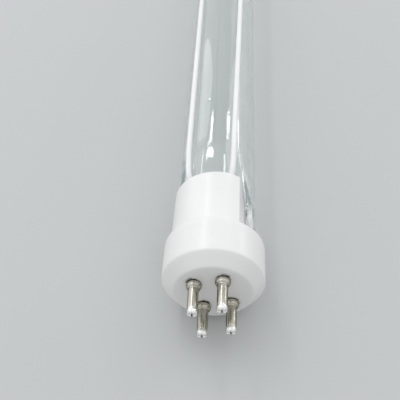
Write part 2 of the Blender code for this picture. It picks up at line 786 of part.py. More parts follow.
def build_mercury(parent, mercury):
    """A drop of mercury that lies on the inside of the tube."""
    bm = bmesh.new()
    lie = TUBE_RADIUS - TUBE_WALL - FIT_GAP / 2 - MERCURY_RADIUS * MERCURY_FLATTENING
    turn = Matrix.Rotation(MERCURY_ANGLE + CLOCKING, 4, "Y")
    flatten = Matrix.Diagonal((1.0, 1.0, MERCURY_FLATTENING, 1.0))
    place = turn @ Matrix.Translation((0.0, MERCURY_STATION, lie)) @ flatten
    bmesh.ops.create_uvsphere(
        bm, u_segments=12, v_segments=8, radius=MERCURY_RADIUS, matrix=place
    )
    add_piece("mercury_drop", mesh_from(bm, "mercury_drop"), mercury, parent)


def build_lamp():
    """Build every piece, then clock the lamp about its length."""
    clear_scene()
    lamp = frame_empty("lamp_axis")
    near = frame_empty("near_end", lamp)
    far = frame_empty("far_end", lamp)
    far.location = (0.0, LAMP_LENGTH, 0.0)
    far.rotation_euler = (0.0, 0.0, math.pi)
    ends = {"near": near, "far": far}
    glaze = finish_of("white_glaze", (0.86, 0.86, 0.84), 0.15)
    cement = finish_of("cement", (0.78, 0.76, 0.72), 0.85)
    nickel = finish_of("nickel_plate", (0.66, 0.62, 0.54), 0.28, 1.0)
    quartz = finish_of("quartz", (0.93, 0.97, 0.96), 0.03, 0.0, 0.3)
    tungsten = finish_of("tungsten", (0.42, 0.41, 0.40), 0.4, 1.0)
    molybdenum = finish_of("molybdenum", (0.45, 0.43, 0.47), 0.35, 1.0)
    insulation = finish_of("white_insulation", (0.92, 0.92, 0.92), 0.4)
    mercury = finish_of("mercury", (0.8, 0.8, 0.81), 0.06, 1.0)
    build_base(lamp, glaze)
    build_pins(lamp, nickel)
    build_envelope(lamp, quartz, ends)
    build_electrodes(ends, tungsten, molybdenum)
    build_return_wires(lamp, insulation)
    pin_high = PIN_PITCH_DEEP / 2
    near_ways = [(side * PIN_PITCH_WIDE / 2, pin_high) for side in (-1.0, 1.0)]
    far_ways = [(side * WIRE_FAR_PLACE, WIRE_FAR_HEIGHT) for side in (-1.0, 1.0)]
    build_cement("base_cement", near, BORE_RADIUS - FIT_GAP, near_ways, cement)
    build_cement("end_cap_cement", far, CAP_BORE_RADIUS - FIT_GAP, far_ways, cement)
    build_end_cap(far, glaze)
    build_splices(far, nickel)
    build_mercury(lamp, mercury)
    lamp.rotation_euler = (0.0, -CLOCKING, 0.0)


build_lamp()
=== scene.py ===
"""Looks of the ultraviolet lamp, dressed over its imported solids.

Every piece is worked out in the lamp's own section: across the width of the flattened
seals, along the tube from the pin face, and up through the seals' thickness. The whole
lamp is then clocked about its length. Lengths are metres.
"""

import math

import bmesh
import bpy
import numpy as np
from mathutils import Matrix, Vector


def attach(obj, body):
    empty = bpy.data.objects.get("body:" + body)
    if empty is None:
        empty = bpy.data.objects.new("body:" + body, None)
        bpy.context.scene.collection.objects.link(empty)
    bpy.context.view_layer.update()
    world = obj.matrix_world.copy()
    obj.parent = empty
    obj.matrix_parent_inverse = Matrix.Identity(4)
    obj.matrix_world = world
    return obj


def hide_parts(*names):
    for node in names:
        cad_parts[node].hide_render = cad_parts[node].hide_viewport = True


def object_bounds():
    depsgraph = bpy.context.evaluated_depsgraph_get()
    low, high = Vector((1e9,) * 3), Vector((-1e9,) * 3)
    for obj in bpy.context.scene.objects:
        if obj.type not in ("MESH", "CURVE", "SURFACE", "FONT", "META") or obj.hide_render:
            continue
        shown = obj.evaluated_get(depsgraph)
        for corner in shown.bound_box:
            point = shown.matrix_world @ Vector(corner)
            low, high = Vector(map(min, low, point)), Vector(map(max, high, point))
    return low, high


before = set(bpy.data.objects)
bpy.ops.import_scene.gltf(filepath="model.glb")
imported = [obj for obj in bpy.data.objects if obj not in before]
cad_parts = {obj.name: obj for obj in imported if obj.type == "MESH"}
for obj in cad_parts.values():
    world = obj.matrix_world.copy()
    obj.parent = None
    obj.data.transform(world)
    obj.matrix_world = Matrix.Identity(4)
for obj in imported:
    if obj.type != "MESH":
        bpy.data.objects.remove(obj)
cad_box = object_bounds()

MM = 0.001
CLOCKING = math.radians(15.0)
LAMP_LENGTH = 287.0 * MM
FIT_GAP = 0.3 * MM

# Quartz tube and its pressed seals
TUBE_RADIUS = 9.25 * MM
TUBE_WALL = 1.1 * MM
PRESS_END = 14.8 * MM
PRESS_FLAT_END = 21.0 * MM
SHOULDER_END = 39.5 * MM
PRESS_HALF = 1.25 * MM
PRESS_SOFTNESS = 0.35 * MM
PRESS_BEAD = 0.4 * MM
PRESS_BEAD_PLACE = 8.45 * MM
PRESS_BEAD_SPREAD = 0.75 * MM
PRESS_SLOPE = (TUBE_RADIUS - PRESS_HALF) / (SHOULDER_END - PRESS_FLAT_END)
GAS_END = 23.6 * MM

# Ceramic base and end cap
FLANGE_LENGTH = 12.1 * MM
COLLAR_LENGTH = 15.5 * MM
RIM_STATION = FLANGE_LENGTH + COLLAR_LENGTH
COLLAR_RIM_RADIUS = 9.9 * MM
COLLAR_ROOT_RADIUS = 10.1 * MM
FLANGE_RADIUS = 11.35 * MM
FACE_RADIUS = 8.66 * MM
FACE_CHAMFER = 2.7 * MM
RIM_WALL = 0.5 * MM
BORE_RADIUS = 7.5 * MM
BORE_FLOOR = 5.0 * MM
BELL_START = 20.5 * MM
BELL_POWER = 2.2
WINDOW_FLAT = 7.3 * MM
SEAL_SLOT_HALF = 1.95 * MM
RIM_SLOT_HALF = 4.26 * MM
CAP_BORE_RADIUS = 9.7 * MM
CAP_FLOOR = 3.2 * MM
CAP_CHAMFER = 1.0 * MM

# Contact pins
PIN_PITCH_WIDE = 6.35 * MM
PIN_PITCH_DEEP = 7.92 * MM
PIN_RADIUS = 1.15 * MM
PIN_TIP_RADIUS = 1.2 * MM
PIN_LENGTH = 8.2 * MM
PIN_TAIL_END = 5.6 * MM
PIN_BORE_RADIUS = 0.65 * MM
PIN_BORE_END = -6.8 * MM
BEAD_RADIUS = 1.65 * MM
BEAD_LENGTH = 1.25 * MM
BEAD_SEAT = 0.15 * MM
CORE_END = -5.6 * MM

# Leads, filaments and return wires
LEAD_PLACE = 6.9 * MM
LEAD_RADIUS = 0.25 * MM
FOIL_START = 15.8 * MM
FOIL_END = 22.8 * MM
LEAD_LAP = 2.4 * MM
LEAD_BENDS = ((0.28, 0.0), (0.59, 0.5), (0.86, 1.0))
FILAMENT_STATION = 34.5 * MM
FILAMENT_PLACE = 4.9 * MM
FILAMENT_REACH = 4.35 * MM
COIL_RADIUS = 0.9 * MM
COIL_WIRE_RADIUS = 0.18 * MM
COIL_TAIL = 1.35 * MM
COIL_TURNS = 7
WIRE_RADIUS = 0.7 * MM
WIRE_CORE_RADIUS = 0.25 * MM
WIRE_ANGLES_LEFT = (-30.0, -29.0, -29.5)
WIRE_ANGLES_RIGHT = (36.6, 46.5, 43.0)
WIRE_STRIP = 8.6 * MM
WIRE_FAR_PLACE = 6.0 * MM
WIRE_FAR_HEIGHT = 3.25 * MM
WIRE_DIPS_NEAR = ((0.08, 0.12), (0.27, 0.42), (0.43, 0.82), (0.66, 0.95))
WIRE_DIPS_FAR = ((0.08, 0.12), (0.27, 0.42), (0.49, 0.66), (0.70, 0.87))
CEMENT_START = 12.4 * MM
CEMENT_END = 17.0 * MM
JOINT_HEIGHT = 0.95 * MM
SPLICE_START = 3.9 * MM
SPLICE_END = 8.3 * MM

CLOCK = Matrix.Rotation(-CLOCKING, 4, "Y")
FAR_END = Matrix.Translation((0.0, LAMP_LENGTH, 0.0)) @ Matrix.Rotation(math.pi, 4, "Z")


# Nodes and finishes

NOISE_SPAN = (0.3, 0.7)
TRAPPED_BOUNCES = 1.5
DEEP_BOUNCES = 8.5


class Nodes:
    """A node tree with short ways to add nodes and to write sums."""

    def __init__(self, tree):
        self.tree = tree

    def add(self, kind, settings=None, **sockets):
        """A new node with its settings; each named socket is linked or set."""
        made = self.tree.nodes.new(kind)
        for key, value in (settings or {}).items():
            setattr(made, key, value)
        for key, value in sockets.items():
            self.feed(value, made.inputs[key.replace("_", " ")])
        return made

    def feed(self, value, socket):
        """Link a socket to another, or give it plain numbers."""
        if isinstance(value, bpy.types.NodeSocket):
            self.tree.links.new(value, socket)
        else:
            socket.default_value = value

    def sum(self, operation, *values):
        """A Math node on sockets or plain numbers."""
        made = self.add("ShaderNodeMath", {"operation": operation})
        for value, socket in zip(values, made.inputs):
            self.feed(value, socket)
        return made.outputs[0]

    def plus(self, first, second):
        return self.sum("ADD", first, second)

    def minus(self, first, second):
        return self.sum("SUBTRACT", first, second)

    def times(self, first, second):
        return self.sum("MULTIPLY", first, second)

    def split(self, vector):
        return self.add("ShaderNodeSeparateXYZ", Vector=vector).outputs

    def ranged(self, value, low, high, to_low=0.0, to_high=1.0, ramp="LINEAR"):
        """A value moved from one range to another and held inside it."""
        made = self.add("ShaderNodeMapRange", {"interpolation_type": ramp}, Value=value,
                        From_Min=low, From_Max=high, To_Min=to_low, To_Max=to_high)
        return made.outputs["Result"]


class Finish(Nodes):
    """A material under construction, with its Principled shader."""

    def __init__(self, name, colour, roughness, metallic=0.0):
        self.material = bpy.data.materials.new(name)
        self.material.use_nodes = True
        super().__init__(self.material.node_tree)
        self.shader = self.tree.nodes["Principled BSDF"]
        self.place = self.add("ShaderNodeTexCoord").outputs["Object"]
        self.drive((*colour, 1.0), "Base Color")
        self.drive(roughness, "Roughness")
        self.drive(metallic, "Metallic")

    def drive(self, value, socket):
        """Feed one of the shader's own sockets."""
        self.feed(value, self.shader.inputs[socket])

    def stretched(self, along):
        """Object coordinates scaled along the lamp, for a grain that runs that way."""
        made = self.add("ShaderNodeMapping", Vector=self.place, Scale=(1.0, along, 1.0))
        return made.outputs["Vector"]

    def noise(self, vector, scale, detail=3.0, distortion=0.0):
        made = self.add("ShaderNodeTexNoise", Vector=vector, Scale=scale, Detail=detail,
                        Distortion=distortion)
        return made.outputs["Fac"]

    def spread(self, noise, low, high):
        """The useful middle of a noise, moved to a range."""
        return self.ranged(noise, *NOISE_SPAN, low, high)

    def blend_colours(self, factor, stops):
        ramp = self.add("ShaderNodeValToRGB", Fac=factor)
        elements = ramp.color_ramp.elements
        for element, (position, colour) in ((elements[0], stops[0]), (elements[1], stops[-1])):
            element.position = position
            element.color = (*colour, 1.0)
        for position, colour in stops[1:-1]:
            elements.new(position).color = (*colour, 1.0)
        return ramp.outputs["Color"]

    def two_tone(self, noise, dark, light):
        return self.blend_colours(noise, [(NOISE_SPAN[0], dark), (NOISE_SPAN[1], light)])

    def mixed(self, factor, first, second):
        """A colour socket mixed by a factor towards a plain colour."""
        made = self.add("ShaderNodeMix", {"data_type": "RGBA"})
        self.feed(factor, made.inputs[0])
        self.feed(first, made.inputs[6])
        self.feed((*second, 1.0), made.inputs[7])
        return made.outputs[2]

    def bump(self, height, distance, strength):
        """Roughen the surface by a height."""
        made = self.add("ShaderNodeBump", Height=height, Distance=distance, Strength=strength)
        self.drive(made.outputs["Normal"], "Normal")

    def seal_place(self):
        """Distance across the lamp's own section from its middle, and along it from the nearer end."""
        turned_back = self.add("ShaderNodeMapping", Vector=self.place, Rotation=(0.0, CLOCKING, 0.0))
        across, along, _ = self.split(turned_back.outputs["Vector"])
        from_middle = self.sum("ABSOLUTE", self.minus(along, LAMP_LENGTH / 2))
        return self.sum("ABSOLUTE", across), self.minus(LAMP_LENGTH / 2, from_middle)


def white_glaze():
    """Pressed white ceramic under a thin clear glaze, with a faint unevenness."""
    finish = Finish("white_glaze", (0.86, 0.86, 0.84), 0.16)
    clouds = finish.blend_colours(
        finish.noise(finish.place, 90.0, 4.0),
        [(0.30, (0.845, 0.845, 0.825)), (0.55, (0.875, 0.873, 0.86)), (0.8, (0.89, 0.89, 0.88))],
    )
    finish.drive(clouds, "Base Color")
    finish.drive(finish.spread(finish.noise(finish.place, 260.0), 0.3, 0.42), "Roughness")
    finish.bump(finish.noise(finish.place, 420.0, 2.0), 0.02 * MM, 0.6)
    finish.drive(0.2, "Coat Weight")
    finish.drive(0.18, "Coat Roughness")
    finish.drive(0.4, "Specular IOR Level")
    return finish.material


def nickel_plate():
    """Bright nickel plate, drawn lengthwise and slightly warm with tarnish.

    Low on the lamp it is darker and more olive, which is painted shade; it is silvery at the crimped tips,
    and the lower half of their slits is painted dark as shade.
    """
    finish = Finish("nickel_plate", (0.62, 0.58, 0.50), 0.25, 1.0)
    drawn = finish.noise(finish.stretched(0.06), 2600.0)
    tarnish = finish.noise(finish.stretched(0.22), 900.0, 3.0, 0.3)
    warm = finish.blend_colours(
        tarnish, [(0.32, (0.40, 0.37, 0.31)), (0.5, (0.55, 0.53, 0.47)), (0.68, (0.70, 0.68, 0.63))]
    )
    finish.drive((0.35, 0.32, 0.26, 1.0), "Specular Tint")
    _, along, up = finish.split(finish.place)
    # Painted shade: the plate is mixed towards a darker olive lower down on the lamp, towards the floor
    low = finish.ranged(up, -1.5 * MM, 1.5 * MM, 0.45, 0.0)
    low_shaded = finish.mixed(low, warm, (0.40, 0.37, 0.28))
    tip = finish.ranged(along, -6.4 * MM, -7.1 * MM)
    silvery = finish.mixed(tip, low_shaded, (0.93, 0.92, 0.90))
    # Painted shade: the lower half of the tip slits is painted near black
    slit_shade = finish.add("ShaderNodeAttribute", {"attribute_name": "slit_shade"}).outputs["Fac"]
    groove_shade_share = finish.ranged(slit_shade, 0.3, 0.55)
    finish.drive(finish.mixed(groove_shade_share, silvery, (0.035, 0.033, 0.03)), "Base Color")
    gloss = finish.spread(drawn, 0.13, 0.24)
    finish.drive(finish.sum("MULTIPLY_ADD", tip, 0.09, gloss), "Roughness")
    finish.bump(drawn, 0.012 * MM, 0.5)
    return finish.material


def fused_quartz():
    """Clear fused quartz, wavy where it was worked and milky where it was pressed.

    Light that is caught between its walls would end black, so after some bounces it goes
    straight on. Shadow rays pass it too.
    """
    finish = Finish("fused_quartz", (0.95, 0.965, 0.96), 0.015)
    finish.drive(1.458, "IOR")
    _, from_end = finish.seal_place()
    streaks = finish.noise(finish.stretched(0.14), 1500.0)
    ragged = finish.plus(from_end, finish.times(streaks, 1.4 * MM))
    milky = finish.ranged(ragged, GAS_END - 1.3 * MM, GAS_END - 0.8 * MM, 1.0, 0.0)
    cloud = finish.times(milky, finish.spread(streaks, 0.12, 0.45))
    finish.drive(finish.minus(1.0, cloud), "Transmission Weight")
    finish.drive(finish.ranged(milky, 0.0, 1.0, 0.015, 0.09), "Roughness")
    finish.bump(finish.noise(finish.stretched(0.25), 210.0, 2.0), 0.02 * MM, 0.5)
    light = finish.add("ShaderNodeLightPath").outputs
    trapped = finish.sum("GREATER_THAN", light["Glossy Depth"], TRAPPED_BOUNCES)
    deep = finish.sum("GREATER_THAN", light["Transmission Depth"], DEEP_BOUNCES)
    clear = finish.add("ShaderNodeBsdfTransparent", Color=(0.9, 0.92, 0.92, 1.0))
    surface = finish.shader.outputs[0]
    for share in (finish.sum("MAXIMUM", trapped, deep), light["Is Shadow Ray"]):
        mix = finish.add("ShaderNodeMixShader")
        for value, socket in zip((share, surface, clear.outputs[0]), mix.inputs):
            finish.feed(value, socket)
        surface = mix.outputs[0]
    finish.feed(surface, finish.tree.nodes["Material Output"].inputs["Surface"])
    return finish.material


def white_insulation():
    """Smooth white wire insulation with the slight waviness of an extruded skin."""
    finish = Finish("white_insulation", (0.9, 0.9, 0.9), 0.35)
    skin = finish.noise(finish.stretched(0.2), 500.0)
    finish.drive(finish.two_tone(skin, (0.87, 0.87, 0.865), (0.92, 0.92, 0.92)), "Base Color")
    finish.drive(finish.spread(finish.noise(finish.place, 900.0), 0.28, 0.42), "Roughness")
    finish.bump(finish.noise(finish.place, 1500.0), 0.01 * MM, 0.5)
    return finish.material


def metal_finish(name, dark, light, scale, rough_low, rough_high):
    """A drawn or rolled bare metal whose tone and gloss change along its grain."""
    finish = Finish(name, light, rough_high, 1.0)
    grain = finish.noise(finish.stretched(0.12), scale, 4.0)
    finish.drive(finish.two_tone(grain, dark, light), "Base Color")
    finish.drive(finish.spread(grain, rough_low, rough_high), "Roughness")
    finish.bump(grain, 0.01 * MM, 0.6)
    return finish.material


def sealed_foil():
    """Silvery molybdenum foil, painted dark along its outer edge towards the gas space."""
    finish = Finish("sealed_foil", (0.80, 0.80, 0.83), 0.35, 1.0)
    grain = finish.noise(finish.stretched(0.12), 2200.0, 4.0)
    across, from_end = finish.seal_place()
    edge = finish.ranged(across, 7.45 * MM, 7.65 * MM)
    ragged = finish.plus(from_end, finish.times(grain, 1.2 * MM))
    towards_gas = finish.ranged(ragged, FOIL_END - 1.9 * MM, FOIL_END - 1.3 * MM)
    # The foil is painted dark here, along its outer edge towards the gas space
    dark_edge = finish.times(edge, towards_gas)
    silver = finish.two_tone(grain, (0.66, 0.65, 0.69), (0.86, 0.86, 0.88))
    finish.drive(finish.mixed(dark_edge, silver, (0.05, 0.055, 0.06)), "Base Color")
    finish.drive(finish.spread(grain, 0.25, 0.42), "Roughness")
    finish.bump(grain, 0.01 * MM, 0.6)
    return finish.material


def lamp_cement():
    """Matt off-white cement, granular, with faint grey streaks."""
    finish = Finish("lamp_cement", (0.74, 0.73, 0.70), 0.85)
    streaks = finish.blend_colours(
        finish.noise(finish.stretched(0.35), 700.0, 6.0, 0.6),
        [(0.3, (0.56, 0.55, 0.52)), (0.5, (0.74, 0.73, 0.70)), (0.72, (0.86, 0.85, 0.83))],
    )
    finish.drive(streaks, "Base Color")
    grains = finish.noise(finish.place, 2600.0, 5.0)
    finish.drive(finish.spread(grains, 0.75, 0.95), "Roughness")
    finish.bump(grains, 0.08 * MM, 0.8)
    return finish.material


FINISHES = {
    "white_glaze": white_glaze(),
    "nickel_plate": nickel_plate(),
    "quartz": fused_quartz(),
    "white_insulation": white_insulation(),
    "tungsten": metal_finish("tungsten_wire", (0.24, 0.235, 0.23), (0.46, 0.45, 0.44), 3000.0, 0.3, 0.5),
    "molybdenum": metal_finish("molybdenum_foil", (0.30, 0.28, 0.33), (0.50, 0.48, 0.53), 2200.0, 0.25, 0.45),
    "foil": sealed_foil(),
    "copper_core": metal_finish("tinned_core", (0.48, 0.46, 0.44), (0.72, 0.70, 0.68), 2600.0, 0.25, 0.4),
    "mercury": metal_finish("mercury_skin", (0.70, 0.70, 0.71), (0.86, 0.86, 0.87), 1800.0, 0.03, 0.08),
    "cement": lamp_cement(),
}


# Making pieces


def linked(name, data):
    """An object with this data, in the scene."""
    made = bpy.data.objects.new(name, data)
    bpy.context.scene.collection.objects.link(made)
    return made


def mesh_from(bm, name):
    """The mesh that a bmesh holds; the bmesh is freed."""
    mesh = bpy.data.meshes.new(name)
    bm.to_mesh(mesh)
    bm.free()
    return mesh


def piece_from(name, mesh, finish, transform=CLOCK):
    """Link a finished mesh with its place baked in."""
    mesh.transform(transform)
    mesh.name = name
    if finish is not None:
        mesh.materials.clear()
        mesh.materials.append(FINISHES[finish])
    return linked(name, mesh)


def settled(maker):
    """The plain mesh that an object's modifiers give; the object itself is removed."""
    bpy.context.view_layer.update()
    depsgraph = bpy.context.evaluated_depsgraph_get()
    mesh = bpy.data.meshes.new_from_object(maker.evaluated_get(depsgraph), depsgraph=depsgraph)
    bpy.data.objects.remove(maker, do_unlink=True)
    return mesh


def shaded(bm, name, sharp=32.0):
    """A bmesh as a smooth-shaded mesh with outward faces and marked sharp edges."""
    bmesh.ops.remove_doubles(bm, verts=bm.verts, dist=1e-7)
    bmesh.ops.recalc_face_normals(bm, faces=bm.faces)
    mesh = mesh_from(bm, name)
    mesh.shade_smooth()
    mesh.set_sharp_from_angle(angle=math.radians(sharp))
    return mesh


def rounded(corners, steps=6):
    """Replace each corner (radius, station, fillet) by an arc of that fillet."""
    outline = []
    for index, (radius, station, fillet) in enumerate(corners):
        here = Vector((radius, station))
        if fillet == 0.0:
            outline.append(here)
            continue
        before = (Vector(corners[index - 1][:2]) - here).normalized()
        after = (Vector(corners[index + 1][:2]) - here).normalized()
        half = before.angle(after) / 2
        centre = here + (before + after).normalized() * fillet / math.sin(half)
        start = here + before * fillet / math.tan(half) - centre
        end = here + after * fillet / math.tan(half) - centre
        for step in range(steps + 1):
            outline.append(centre + start.lerp(end, step / steps).normalized() * fillet)
    return outline


def subdivided(outline, longest):
    """Extra points on the long straight runs of an outline."""
    dense = [outline[0]]
    for start, end in zip(outline, outline[1:]):
        pieces = max(1, math.ceil((end - start).length / longest))
        dense += [start.lerp(end, step / pieces) for step in range(1, pieces + 1)]
    return dense


def turned(outline, segments):
    """A bmesh turned about the lamp's length from (radius, station) points."""
    bm = bmesh.new()
    points = [bm.verts.new((radius, station, 0.0)) for radius, station in outline]
    edges = [bm.edges.new(pair) for pair in zip(points, points[1:])]
    if outline[0][0] > 0.0:
        edges.append(bm.edges.new((points[-1], points[0])))
    bmesh.ops.spin(
        bm,
        geom=points + edges,
        axis=(0.0, 1.0, 0.0),
        cent=(0.0, 0.0, 0.0),
        angle=2 * math.pi,
        steps=segments,
        use_merge=True,
    )
    bmesh.ops.remove_doubles(bm, verts=bm.verts, dist=1e-7)
    return bm


def skinned(rings):
    """A bmesh of successive rings, closed at both ends."""
    bm = bmesh.new()
    loops = [[bm.verts.new(point) for point in ring] for ring in rings]
    count = len(loops[0])
    for near, far in zip(loops, loops[1:]):
        for index in range(count):
            following = (index + 1) % count
            bm.faces.new((near[index], near[following], far[following], far[index]))
    bm.faces.new(loops[0])
    bm.faces.new(loops[-1])
    return bm


def weighted(maker):
    """Let large flat faces keep their own shading next to small fillets."""
    normals = maker.modifiers.new("normals", "WEIGHTED_NORMAL")
    normals.keep_sharp = True


# Ceramic base

ROOT_FILLET = 0.45 * MM
RIM_ROUND = 0.5 * MM
RIM_ROUND_OUT = 0.3 * MM
RIM_ROUND_IN = 0.16 * MM
EDGE_SOFTNESS = 0.24 * MM
LEVEL_STEPS = 18
ROUND_STEPS = 5
FACE_FILLET = 0.9 * MM
BACK_FILLET = 0.7 * MM
BORE_FILLET = 0.6 * MM
PIN_HOLE_MIDDLE = 2.0 * MM
PIN_HOLE_LENGTH = 9.0 * MM
CAP_FILLET = 0.4 * MM
CAP_RIM_FILLET = 0.5 * MM
BASE_STEP = 1.1 * MM
CAP_STEP = 1.2 * MM
BASE_SEGMENTS = 180
CAP_SEGMENTS = 144
HOLE_SEGMENTS = 40
ROOT_CLEARANCE = 1.4
SOFTENING_TAPS = 9
SOFTENING_FALL = 0.75
OUTER_POINTS, SLOT_POINTS, BORE_POINTS, WINDOW_POINTS = 72, 8, 56, 12


def seal_height(station):
    """Half thickness of the flattened glass at a distance from its lamp end."""
    rise = (station - PRESS_FLAT_END) * PRESS_SLOPE
    return PRESS_HALF + (rise + math.hypot(rise, PRESS_SOFTNESS)) / 2


def flared(station):
    """How far the bell mouth has opened at a station, from 0 to 1."""
    return min(1.0, max(0.0, (station - BELL_START) / (RIM_STATION - BELL_START)))


def collar_levels():
    """(station, growth of the outer walls, radius of the bore) up the collar."""
    mouth = COLLAR_RIM_RADIUS - RIM_WALL - BORE_RADIUS

    def bore(station):
        return BORE_RADIUS + mouth * flared(station)**BELL_POWER

    quarter = [math.pi / 2 * step / ROUND_STEPS for step in range(ROUND_STEPS + 1)]
    levels = [(FLANGE_LENGTH - ROOT_FILLET, ROOT_FILLET, BORE_RADIUS + FIT_GAP)]
    levels.append((FLANGE_LENGTH - FIT_GAP / 3, ROOT_FILLET, BORE_RADIUS + FIT_GAP))
    for turn in quarter:
        station = FLANGE_LENGTH + ROOT_FILLET * (1.0 - math.cos(turn))
        levels.append((station + FIT_GAP / 6, ROOT_FILLET * (1.0 - math.sin(turn)), bore(station)))
    low = FLANGE_LENGTH + ROOT_FILLET * ROOT_CLEARANCE
    high = RIM_STATION - RIM_ROUND
    for step in range(LEVEL_STEPS):
        station = low + (high - low) * step / LEVEL_STEPS
        levels.append((station, 0.0, bore(station)))
    for turn in quarter:
        station = RIM_STATION - RIM_ROUND * (1.0 - math.sin(turn))
        curl = 1.0 - math.cos(turn)
        levels.append((station, -RIM_ROUND_OUT * curl, bore(station) + RIM_ROUND_IN * curl))
    return levels


def eased(count):
    """Shares from 0 to 1 that crowd towards both ends."""
    return (1.0 - np.cos(np.linspace(0.0, math.pi, count, endpoint=False))) / 2


def arc_points(radius, start, end, count):
    angles = start + (end - start) * eased(count)
    return np.stack([radius * np.cos(angles), radius * np.sin(angles)], axis=1)


def line_points(start, end, count):
    return np.array(start) + np.outer(eased(count), np.array(end) - np.array(start))


def collar_section(station, growth, bore):
    """The upper half of the collar's section, from the window round to the slot."""
    along = (station - FLANGE_LENGTH) / COLLAR_LENGTH
    outer = COLLAR_ROOT_RADIUS + (COLLAR_RIM_RADIUS - COLLAR_ROOT_RADIUS) * along + growth
    flat = WINDOW_FLAT + growth
    slot = SEAL_SLOT_HALF + (RIM_SLOT_HALF - SEAL_SLOT_HALF) * flared(station) - growth
    window_out = math.acos(flat / outer)
    window_in = math.acos(min(1.0, flat / bore))
    slot_out = math.pi - math.asin(slot / outer)
    slot_in = math.pi - math.asin(slot / bore)
    outline = np.concatenate([
        arc_points(outer, window_out, slot_out, OUTER_POINTS),
        line_points((outer * math.cos(slot_out), slot), (bore * math.cos(slot_in), slot), SLOT_POINTS),
        arc_points(bore, slot_in, window_in, BORE_POINTS),
        line_points((flat, bore * math.sin(window_in)), (flat, outer * math.sin(window_out)),
                    WINDOW_POINTS),
    ])
    return softened(outline, EDGE_SOFTNESS)


def softened(outline, reach):
    """Round the corners of a closed outline by averaging it over a short reach."""
    closed = np.vstack([outline, outline[:1]])
    steps = np.hypot(*np.diff(closed, axis=0).T)
    length = np.concatenate([[0.0], np.cumsum(steps)])
    total = np.zeros_like(outline)
    offsets = np.linspace(-1.0, 1.0, SOFTENING_TAPS)
    weights = 1.0 - np.abs(offsets) * SOFTENING_FALL
    for offset, weight in zip(offsets, weights):
        at = np.mod(length[:-1] + offset * reach, length[-1])
        total[:, 0] += weight * np.interp(at, length, closed[:, 0])
        total[:, 1] += weight * np.interp(at, length, closed[:, 1])
    return total / weights.sum()


def collar_half(side):
    rings = []
    for station, growth, bore in collar_levels():
        section = collar_section(station, growth, bore)
        rings.append([(x, station, side * z) for x, z in section])
    return shaded(skinned(rings), "collar_half")


def pin_places():
    """Centres of the four pins in the lamp's own section."""
    places = {}
    for height, z in (("upper", PIN_PITCH_DEEP / 2), ("lower", -PIN_PITCH_DEEP / 2)):
        for side, x in (("left", -PIN_PITCH_WIDE / 2), ("right", PIN_PITCH_WIDE / 2)):
            places[f"contact_pin_{height}_{side}"] = (x, z)
    return places


def build_ceramic_base():
    """Chamfered flange and split collar, joined into one pressed ceramic piece."""
    outline = rounded([
        (0.0, 0.0, 0.0),
        (FACE_RADIUS, 0.0, FACE_FILLET),
        (FLANGE_RADIUS, FACE_CHAMFER, FACE_FILLET),
        (FLANGE_RADIUS, FLANGE_LENGTH, BACK_FILLET),
        (BORE_RADIUS, FLANGE_LENGTH, 0.0),
        (BORE_RADIUS, BORE_FLOOR, BORE_FILLET),
        (0.0, BORE_FLOOR, 0.0),
    ])
    flange = shaded(turned(subdivided(outline, BASE_STEP), BASE_SEGMENTS), "flange")
    maker = linked("flange", flange)
    helpers = [linked("collar", collar_half(side)) for side in (1.0, -1.0)]
    for helper in helpers:
        joined = maker.modifiers.new("collar", "BOOLEAN")
        joined.operation, joined.solver, joined.object = "UNION", "EXACT", helper
    for place, height in pin_places().values():
        bm = bmesh.new()
        move = Matrix.Translation((place, PIN_HOLE_MIDDLE, height))
        radius = PIN_RADIUS + FIT_GAP
        bmesh.ops.create_cone(bm, cap_ends=True, segments=HOLE_SEGMENTS, radius1=radius, radius2=radius,
                              depth=PIN_HOLE_LENGTH, matrix=move @ Matrix.Rotation(math.pi / 2, 4, "X"))
        helper = linked("pin_hole", shaded(bm, "pin_hole"))
        helpers.append(helper)
        bored = maker.modifiers.new("pin_hole", "BOOLEAN")
        bored.operation, bored.solver, bored.object = "DIFFERENCE", "EXACT", helper
    weighted(maker)
    mesh = settled(maker)
    for helper in helpers:
        bpy.data.objects.remove(helper, do_unlink=True)
    base = piece_from("ceramic_base", mesh, "white_glaze")
    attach(base, "root")
    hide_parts("base_shell")


def build_end_cap():
    """The plain ceramic cup over the far seal."""
    outline = rounded([
        (0.0, 0.0, 0.0),
        (FLANGE_RADIUS - CAP_CHAMFER, 0.0, CAP_FILLET),
        (FLANGE_RADIUS, CAP_CHAMFER, CAP_FILLET),
        (FLANGE_RADIUS, RIM_STATION, CAP_RIM_FILLET),
        (CAP_BORE_RADIUS, RIM_STATION, CAP_RIM_FILLET),
        (CAP_BORE_RADIUS, CAP_FLOOR, BORE_FILLET),
        (0.0, CAP_FLOOR, 0.0),
    ])
    maker = linked("cap", shaded(turned(subdivided(outline, CAP_STEP), CAP_SEGMENTS), "cap"))
    weighted(maker)
    cap = piece_from("ceramic_end_cap", settled(maker), "white_glaze", CLOCK @ FAR_END)
    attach(cap, "root")
    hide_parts("end_cap")


# Contact pins

CRIMP_WIDTH = 0.22 * MM
CRIMP_DEPTH = 0.4 * MM
CRIMP_PINCH = 0.26 * MM
CRIMP_SPREAD = 0.8 * MM
CRIMP_REACH = 1.3 * MM
CRIMP_ABOVE = 0.4
CRIMP_CROSSED = 0.5
CRIMP_TAPER = 0.7
END_HOLE_RADIUS = 0.34 * MM
END_HOLE_DEPTH = 0.35 * MM
END_HOLE_REACH = 0.3 * MM
PIN_WAIST_RADIUS = 1.1 * MM
TIP_END = 0.95 * MM
WAIST_END = 1.4 * MM
SHANK_START = 2.6 * MM
PIN_SEGMENTS = 72
PIN_STEPS = 8
PIN_SHARP = 50.0


